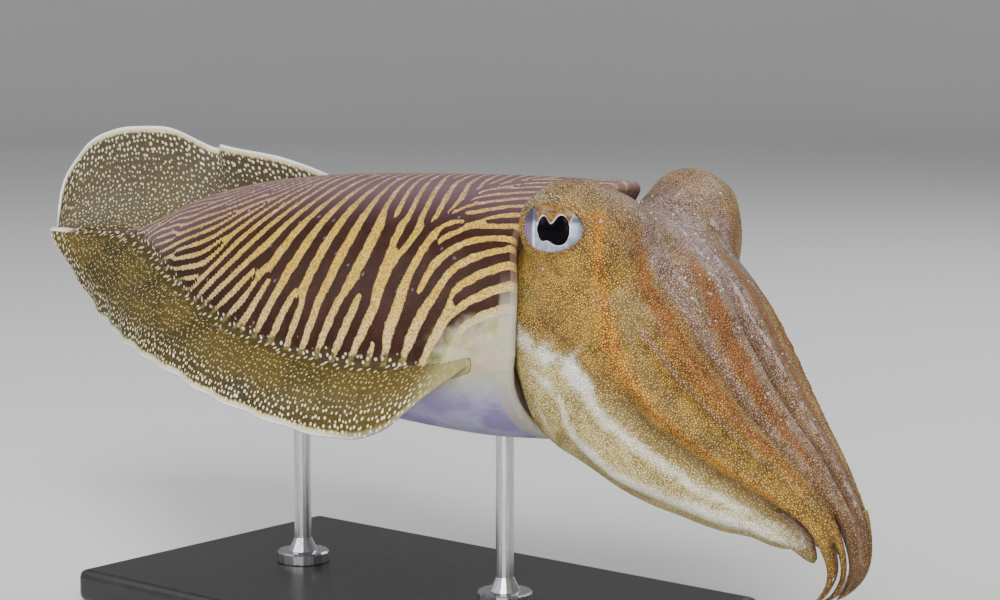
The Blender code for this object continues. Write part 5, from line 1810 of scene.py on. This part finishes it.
@dataclass
class Eyes:
    """Both eyes: ball, pupil and the iris's flap."""

    forms: tuple[EyeForm, ...] = (EyeForm(Side.RIGHT), EyeForm(Side.LEFT))
    ball_finish: EyeballFinish = EyeballFinish()
    flap_finish: FlapFinish = FlapFinish()
    ball_rings: int = 44
    ball_sides: int = 96
    pupil_columns: int = 72
    pupil_rows: int = 10
    pupil_over: float = 0.00035
    pupil_edge: float = 0.0001
    pupil_under: float = 0.0005
    flap_under: float = 0.0004
    flap_columns: int = 64
    flap_rows: int = 14
    flap_over: float = 0.0008
    flap_half: float = 0.008
    flap_top: float = 0.0104
    flap_turn: float = 0.92
    flap_gap: float = 0.0004

    def ball(self, form: EyeForm) -> Surface:
        """The eyeball, with the distance from the pupil's outline, and its share out to the lids."""
        centre, out, along, above = form.frame()
        rings = []
        for polar in np.linspace(0.01, 0.62 * math.pi, self.ball_rings):
            turns = circle(self.ball_sides)[:, None]
            flat = along * (form.ball[0] * np.cos(turns)) + above * (form.ball[2] * np.sin(turns))
            rings.append(centre + out * (form.ball[1] * math.cos(polar)) + flat * math.sin(polar))
        ball = tube(np.array(rings))
        offset = ball.points - centre
        a, b = offset @ along, offset @ above
        low, high = form.pupil_edges(np.clip(a / form.pupil_half_width, -1, 1))
        outside = np.maximum(np.maximum(low - b, b - high), np.abs(a) - form.pupil_half_width)
        ball.values = {
            "ring": form.opening_share(a, b),
            "pupil": np.where((offset @ out) > 0, np.maximum(outside, 0.0), 1.0),
            "side_turn": np.arctan2(b, a), "ahead": a, "above": b,
        }
        return ball

    def pupil(self, form: EyeForm) -> Surface:
        """The W-shaped pupil, a thin plate with a raised middle."""
        across = np.linspace(-1, 1, self.pupil_columns)
        low, high = form.pupil_edges(across)
        rows = np.linspace(0, 1, self.pupil_rows)[:, None]
        a = np.broadcast_to(across * form.pupil_half_width, (self.pupil_rows, self.pupil_columns))
        b = low + (high - low) * rows
        swell = np.sqrt(np.maximum(1 - (2 * rows - 1) ** 2, 0.0)) * np.ones_like(a)
        lift = form.frame()[1] * (swell * self.pupil_over)[..., None]
        front = form.on_ball(a, b, self.pupil_edge) + lift
        back = form.on_ball(a, b, -self.pupil_under)
        return tube(np.concatenate([back, front[::-1]]).transpose(1, 0, 2))

    def flap(self, form: EyeForm) -> Surface:
        """The upper flap of the iris, down to the pupil's upper edge."""
        a = np.linspace(-self.flap_half, self.flap_half, self.flap_columns)
        _low, high = form.pupil_edges(np.clip(a / form.pupil_half_width, -1, 1))
        aside = ease(np.abs(a), self.flap_turn * form.pupil_half_width, self.flap_half)
        top = self.flap_top * np.sqrt(np.maximum(1 - (a / form.lid_ring[0]) ** 2, 0.0))
        edge = high * (1 - aside) + (top - self.flap_gap) * aside - self.pupil_edge
        rows = np.linspace(0, 1, self.flap_rows)[:, None]
        b = edge + (top - edge) * rows
        grid = np.broadcast_to(a, b.shape)
        rounded = np.sqrt(np.minimum(rows * 5, 1.0)) * np.ones_like(b)
        front = form.on_ball(grid, b, self.flap_over * rounded)
        back = form.on_ball(grid, b, -self.flap_under)
        skin = tube(np.concatenate([back[::-1], front]).transpose(1, 0, 2))
        lip = np.concatenate([(b - edge)[::-1], b - edge]).T.reshape(-1)
        skin.values = {"lip": np.concatenate([lip, [0.01, 0.01]])}
        return skin

    def build(self) -> list[Object]:
        """Makes both eyes."""
        ball_finish, pupil_finish = self.ball_finish.build(), PUPIL_FINISH.build()
        flap_finish = self.flap_finish.build()
        made = []
        for form in self.forms:
            side = form.side.name.lower()
            ball = mesh_object(f"eyeball_{side}", self.ball(form), [ball_finish])
            pupil = mesh_object(f"pupil_fine_{side}", self.pupil(form), [pupil_finish])
            flap = mesh_object(f"iris_flap_{side}", self.flap(form), [flap_finish])
            for piece in (ball, pupil, flap):
                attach(piece, ROOT)
            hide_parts(f"eye_{side}")
            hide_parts(f"pupil_{side}")
            made += [ball, pupil, flap]
            LOG.info("eye %s: ball, pupil and flap", side)
        return made


@dataclass
class Repeats:
    """A small shape set on many points by Geometry Nodes."""

    name: str
    unit_shape: Object
    finish: Material

    def tree(self) -> NodeTree:
        """The node group: instances on points, sized and turned by attributes, made real.

        Returns:
            The group, with inputs Shape and Material.
        """
        group = bpy.data.node_groups.new(self.name, "GeometryNodeTree")
        face = group.interface
        face.new_socket("Geometry", in_out="INPUT", socket_type="NodeSocketGeometry")
        face.new_socket("Shape", in_out="INPUT", socket_type="NodeSocketObject")
        face.new_socket("Material", in_out="INPUT", socket_type="NodeSocketMaterial")
        face.new_socket("Geometry", in_out="OUTPUT", socket_type="NodeSocketGeometry")

        def node(kind: str, settings: Settings, sockets: Sockets) -> Node:
            """A node of the group."""
            return add_node(group, kind, settings, sockets)

        inputs = node("NodeGroupInput", {}, {})
        shape = node("GeometryNodeObjectInfo", {}, {"Object": inputs.outputs["Shape"]})
        normal = node("GeometryNodeInputNamedAttribute", {"data_type": "FLOAT_VECTOR"}, {"Name": "up"})
        size = node("GeometryNodeInputNamedAttribute", {"data_type": "FLOAT"}, {"Name": "size"})
        turned = node("FunctionNodeAlignRotationToVector", {"axis": "Z"}, {"Vector": normal.outputs[0]})
        copies = node("GeometryNodeInstanceOnPoints", {}, {
            "Points": inputs.outputs["Geometry"], "Instance": shape.outputs["Geometry"],
            "Rotation": turned.outputs[0], "Scale": size.outputs[0],
        })
        real = node("GeometryNodeRealizeInstances", {}, {"Geometry": copies.outputs[0]})
        painted = node("GeometryNodeSetMaterial", {}, {
            "Geometry": real.outputs[0], "Material": inputs.outputs["Material"],
        })
        node("NodeGroupOutput", {}, {0: painted.outputs[0]})
        return group

    def build(self, points: Array, ups: Array, sizes: Array) -> Object:
        """Sets the shape on the points.

        Args:
            points: Places in the stand's frame.
            ups: Direction that each copy's +Z takes.
            sizes: Scale of each copy.

        Returns:
            One mesh of all copies.
        """
        mesh = bpy.data.meshes.new(f"{self.name}_points")
        mesh.from_pydata(points.tolist(), [], [])
        turned = mesh.attributes.new("up", "FLOAT_VECTOR", "POINT")
        turned.data.foreach_set("vector", ups.astype(np.float32).reshape(-1))
        mesh.attributes.new("size", "FLOAT", "POINT").data.foreach_set("value", sizes.astype(np.float32))
        cloud = placed(f"{self.name}_points", mesh)
        group = self.tree()
        modifier = cloud.modifiers.new("repeat", "NODES")
        modifier.node_group = group
        ids = {item.name: item.identifier for item in group.interface.items_tree if item.in_out == "INPUT"}
        modifier[ids["Shape"]] = self.unit_shape
        modifier[ids["Material"]] = self.finish
        made = baked(cloud)
        bpy.data.objects.remove(self.unit_shape)
        made.shade_smooth()
        LOG.info("%s: %d copies", self.name, len(points))
        return placed(self.name, made)


def lathe(name: str, profile: Knots, sides: int) -> Object:
    """A closed shape turned round Z through (radius, height) points, whose ends are on the axis."""
    shape = tube(turned_rings(profile[1:-1], sides))
    shape.points[-2], shape.points[-1] = (0, 0, profile[0][1]), (0, 0, profile[-1][1])
    shape.points = shape.points - LOBE_TIP
    return mesh_object(name, shape, [])


def skin_tree(skin: Object, slots: tuple[int, ...]) -> BVHTree:
    """A tree for casting rays at the skin's faces of these material slots."""
    faces = [tuple(p.vertices) for p in skin.data.polygons if p.material_index in slots]
    return BVHTree.FromPolygons([v.co for v in skin.data.vertices], faces)


@dataclass
class Suckers:
    """Four alternating rows of suckers on each arm's inner face."""

    crown: CrownForm = field(default_factory=CrownForm)
    arms: tuple[ArmForm, ...] = ARMS
    first_s: float = 0.056
    last_margin: float = 0.01
    rows: int = 4
    largest: float = 0.0012
    smallest: float = 0.00035
    spacing: float = 1.15
    row_reach: float = 0.66
    fill: float = 2.3
    row_step: float = 1.6
    proud: float = 0.25
    ray_lift: float = 0.004
    ray_length: float = 0.012
    profile: Knots = (
        (0.0, -0.5), (0.55, -0.35), (0.82, 0.1), (1.0, 0.5), (0.86, 0.74), (0.6, 0.62), (0.0, 0.3),
    )
    sides: int = 7

    def build(self, skin: Object) -> Object:
        """Places the suckers on the skin."""
        tree = skin_tree(skin, (0, 1))
        places, ups, sizes = [], [], []
        for arm in self.arms:
            for side in Side:
                s, number = self.first_s, 0
                while s < arm.end_s - self.last_margin:
                    middle, half = arm.sector(s)
                    hollow, keep = float(arm.hollow(s)), arm.keep(s)
                    width = float(self.crown.half_width(s)) * hollow * (2 * half) * keep
                    radius = min(max(width / (self.fill * self.rows), self.smallest), self.largest)
                    row = (number * 2) % self.rows + (number * 2 // self.rows) % 2
                    q = self.row_reach * (2 * row / (self.rows - 1) - 1)
                    turn = side.value * (middle + q * half * keep)
                    centre = (1 + hollow) / 2
                    share = centre + (hollow - centre) * keep
                    at = self.crown.point(s, turn, share)
                    inward = unit(self.crown.point(s, turn, share * 0.5) - at)
                    start = Vector(at + LOBE_TIP + inward * self.ray_lift)
                    hit, normal, _face, _far = tree.ray_cast(start, Vector(-inward), self.ray_length)
                    if hit is not None:
                        places.append(np.array(hit) + np.array(normal) * radius * self.proud)
                        ups.append(np.array(normal))
                        sizes.append(radius)
                    s += radius * self.spacing * 2 / self.rows * self.row_step
                    number += 1
        shape = lathe("sucker", self.profile, self.sides)
        repeats = Repeats("suckers_fine", shape, SUCKER_FINISH.build())
        made = repeats.build(np.array(places), np.array(ups), np.array(sizes))
        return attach(made, ROOT)


@dataclass
class Papillae:
    """Small white points on top of the head and along the upper arms' ridges."""

    crown: CrownForm = field(default_factory=CrownForm)
    count: int = 120
    largest: float = 0.00055
    smallest: float = 0.00024
    s_range: tuple[float, float] = (0.022, 0.11)
    head_end: float = 0.05
    head_spread: float = 0.35
    arm_spread: float = 0.3
    large_end: float = 0.06
    far_size: float = 0.7
    ray_shares: tuple[float, float] = (1.5, 0.5)
    ray_length: float = 0.04
    profile: Knots = (
        (0.0, -0.6), (0.9, -0.3), (1.0, 0.1), (0.62, 0.62), (0.26, 1.0), (0.0, 1.15),
    )
    sides: int = 7

    def build(self, skin: Object) -> Object:
        """Places the papillae on the skin."""
        tree = skin_tree(skin, (1,))
        random = np.random.default_rng(SEED)
        places, ups, sizes = [], [], []
        while len(places) < self.count:
            s = random.uniform(*self.s_range)
            turn = random.normal(0.0, self.head_spread if s < self.head_end else self.arm_spread)
            at, below = (self.crown.point(s, turn, share) for share in self.ray_shares)
            ray = Vector(at + LOBE_TIP), Vector(unit(below - at)), self.ray_length
            hit, normal, _face, _far = tree.ray_cast(*ray)
            if hit is None:
                continue
            places.append(np.array(hit))
            ups.append(np.array(normal))
            size = random.uniform(self.smallest, self.largest)
            sizes.append(size * (1.0 if s < self.large_end else self.far_size))
        shape = lathe("papilla", self.profile, self.sides)
        repeats = Repeats("papillae", shape, PAPILLA_FINISH.build())
        made = repeats.build(np.array(places), np.array(ups), np.array(sizes))
        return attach(made, ROOT)


@dataclass
class Stand:
    """The stand's nodes, carried over from the solids with finishes of their own."""

    base: str = "stand_base"
    rods: tuple[str, ...] = ("stand_rod_front", "stand_rod_rear")

    def build(self, nodes: dict[str, Object]) -> None:
        """Gives the base and the rods their finishes."""
        base_finish, rod_finish = BASE_FINISH.build(), ROD_FINISH.build()
        for name, finish in ((self.base, base_finish), *((rod, rod_finish) for rod in self.rods)):
            nodes[name].data.materials.clear()
            nodes[name].data.materials.append(finish)
        LOG.info("stand: base and %d rods", len(self.rods))


@dataclass
class Studio:
    """A pale floor curving up into a wall, four soft lamps and a pale sky."""

    floor_radius: float = 3.2
    bend: float = 1.0
    height: float = 3.0
    sides: int = 96
    inner_radii: tuple[float, float] = (0.3, 1.2)
    bend_points: int = 12
    sky: Triple = (0.8, 0.82, 0.85)
    sky_strength: float = 0.42
    lamps: tuple[tuple[Triple, float, float, Triple], ...] = (
        ((0.9, -1.2, 1.5), 0.9, 42.0, (1.0, 0.97, 0.92)),
        ((-0.9, -1.0, 0.9), 0.8, 12.0, (0.92, 0.96, 1.0)),
        ((0.1, 1.2, 1.3), 0.8, 14.0, (1.0, 1.0, 1.0)),
        ((0.8, -1.05, 0.3), 0.5, 9.0, (1.0, 0.98, 0.95)),
    )
    aim: Triple = (0.02, 0.0, 0.1)

    def build(self) -> None:
        """Makes the floor, the lamps and the sky."""
        profile = [(radius, 0.0) for radius in (*self.inner_radii, self.floor_radius)]
        for turn in np.linspace(0, math.pi / 2, self.bend_points)[1:]:
            out, up = self.bend * math.sin(turn), self.bend * (1 - math.cos(turn))
            profile.append((self.floor_radius + out, up))
        profile.append((self.floor_radius + self.bend, self.height))
        shape = tube(turned_rings(tuple(profile), self.sides), close_ends=False)
        shape.faces = [face[::-1] for face in shape.faces]
        shape.points = np.vstack([shape.points, (0.0, 0.0, 0.0)]) - LOBE_TIP
        middle = len(shape.points) - 1
        shape.faces += [(k, (k + 1) % self.sides, middle) for k in range(self.sides)]
        mesh_object("studio_floor", shape, [FLOOR_FINISH.build()], outward=False)
        for number, (place, size, power, colour) in enumerate(self.lamps):
            light = bpy.data.lights.new(f"lamp_{number}", "AREA")
            light.size, light.energy, light.color = size, power, colour
            lamp = placed(f"lamp_{number}", light)
            lamp.location = place
            lamp.rotation_euler = (Vector(self.aim) - Vector(place)).to_track_quat("-Z", "Y").to_euler()
        world = bpy.data.worlds.new("studio_sky")
        world.use_nodes = True
        background = world.node_tree.nodes["Background"]
        background.inputs["Color"].default_value = (*self.sky, 1.0)
        background.inputs["Strength"].default_value = self.sky_strength
        bpy.context.scene.world = world
        LOG.info("studio: floor and %d lamps", len(self.lamps))


@dataclass
class Camera:
    """The photo's view, from the right, the front and a little above.

    pixel is the place of the lobe's tip in the picture, and depth its distance along the view.
    """

    azimuth: float = math.radians(40.0)
    elevation: float = math.radians(7.0)
    focal: float = 2408.0
    picture: tuple[int, int] = (1000, 600)
    pixel: tuple[float, float] = (632.0, 187.0)
    depth: float = 0.8
    sensor: float = 36.0

    def build(self) -> Object:
        """Makes the camera."""
        a, e = self.azimuth, self.elevation
        back = Vector((math.sin(a) * math.cos(e), -math.cos(a) * math.cos(e), math.sin(e)))
        right = Vector((math.cos(a), math.sin(a), 0.0))
        above = back.cross(right)
        scale = self.depth / self.focal
        aside, up = self.pixel[0] - self.picture[0] / 2, self.picture[1] / 2 - self.pixel[1]
        data = bpy.data.cameras.new("camera")
        data.sensor_width = self.sensor
        data.lens = self.focal * self.sensor / self.picture[0]
        data.clip_start, data.clip_end = 0.01, 50.0
        data.dof.use_dof = False
        camera = placed("camera", data)
        place = Vector(LOBE_TIP) + back * self.depth
        camera.location = place - right * (aside * scale) - above * (up * scale)
        camera.rotation_euler = (-back).to_track_quat("-Z", "Y").to_euler()
        bpy.context.scene.camera = camera
        return camera


def main() -> None:
    """Builds the scene."""
    logging.basicConfig(level=logging.INFO, format="%(name)s: %(message)s")
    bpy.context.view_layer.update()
    nodes = frame["nodes"]
    skin = Skin().build()
    Eyes().build()
    Suckers().build(skin)
    Papillae().build(skin)
    Stand().build(nodes)
    Studio().build()
    Camera().build()


if __name__ == "__main__":
    main()
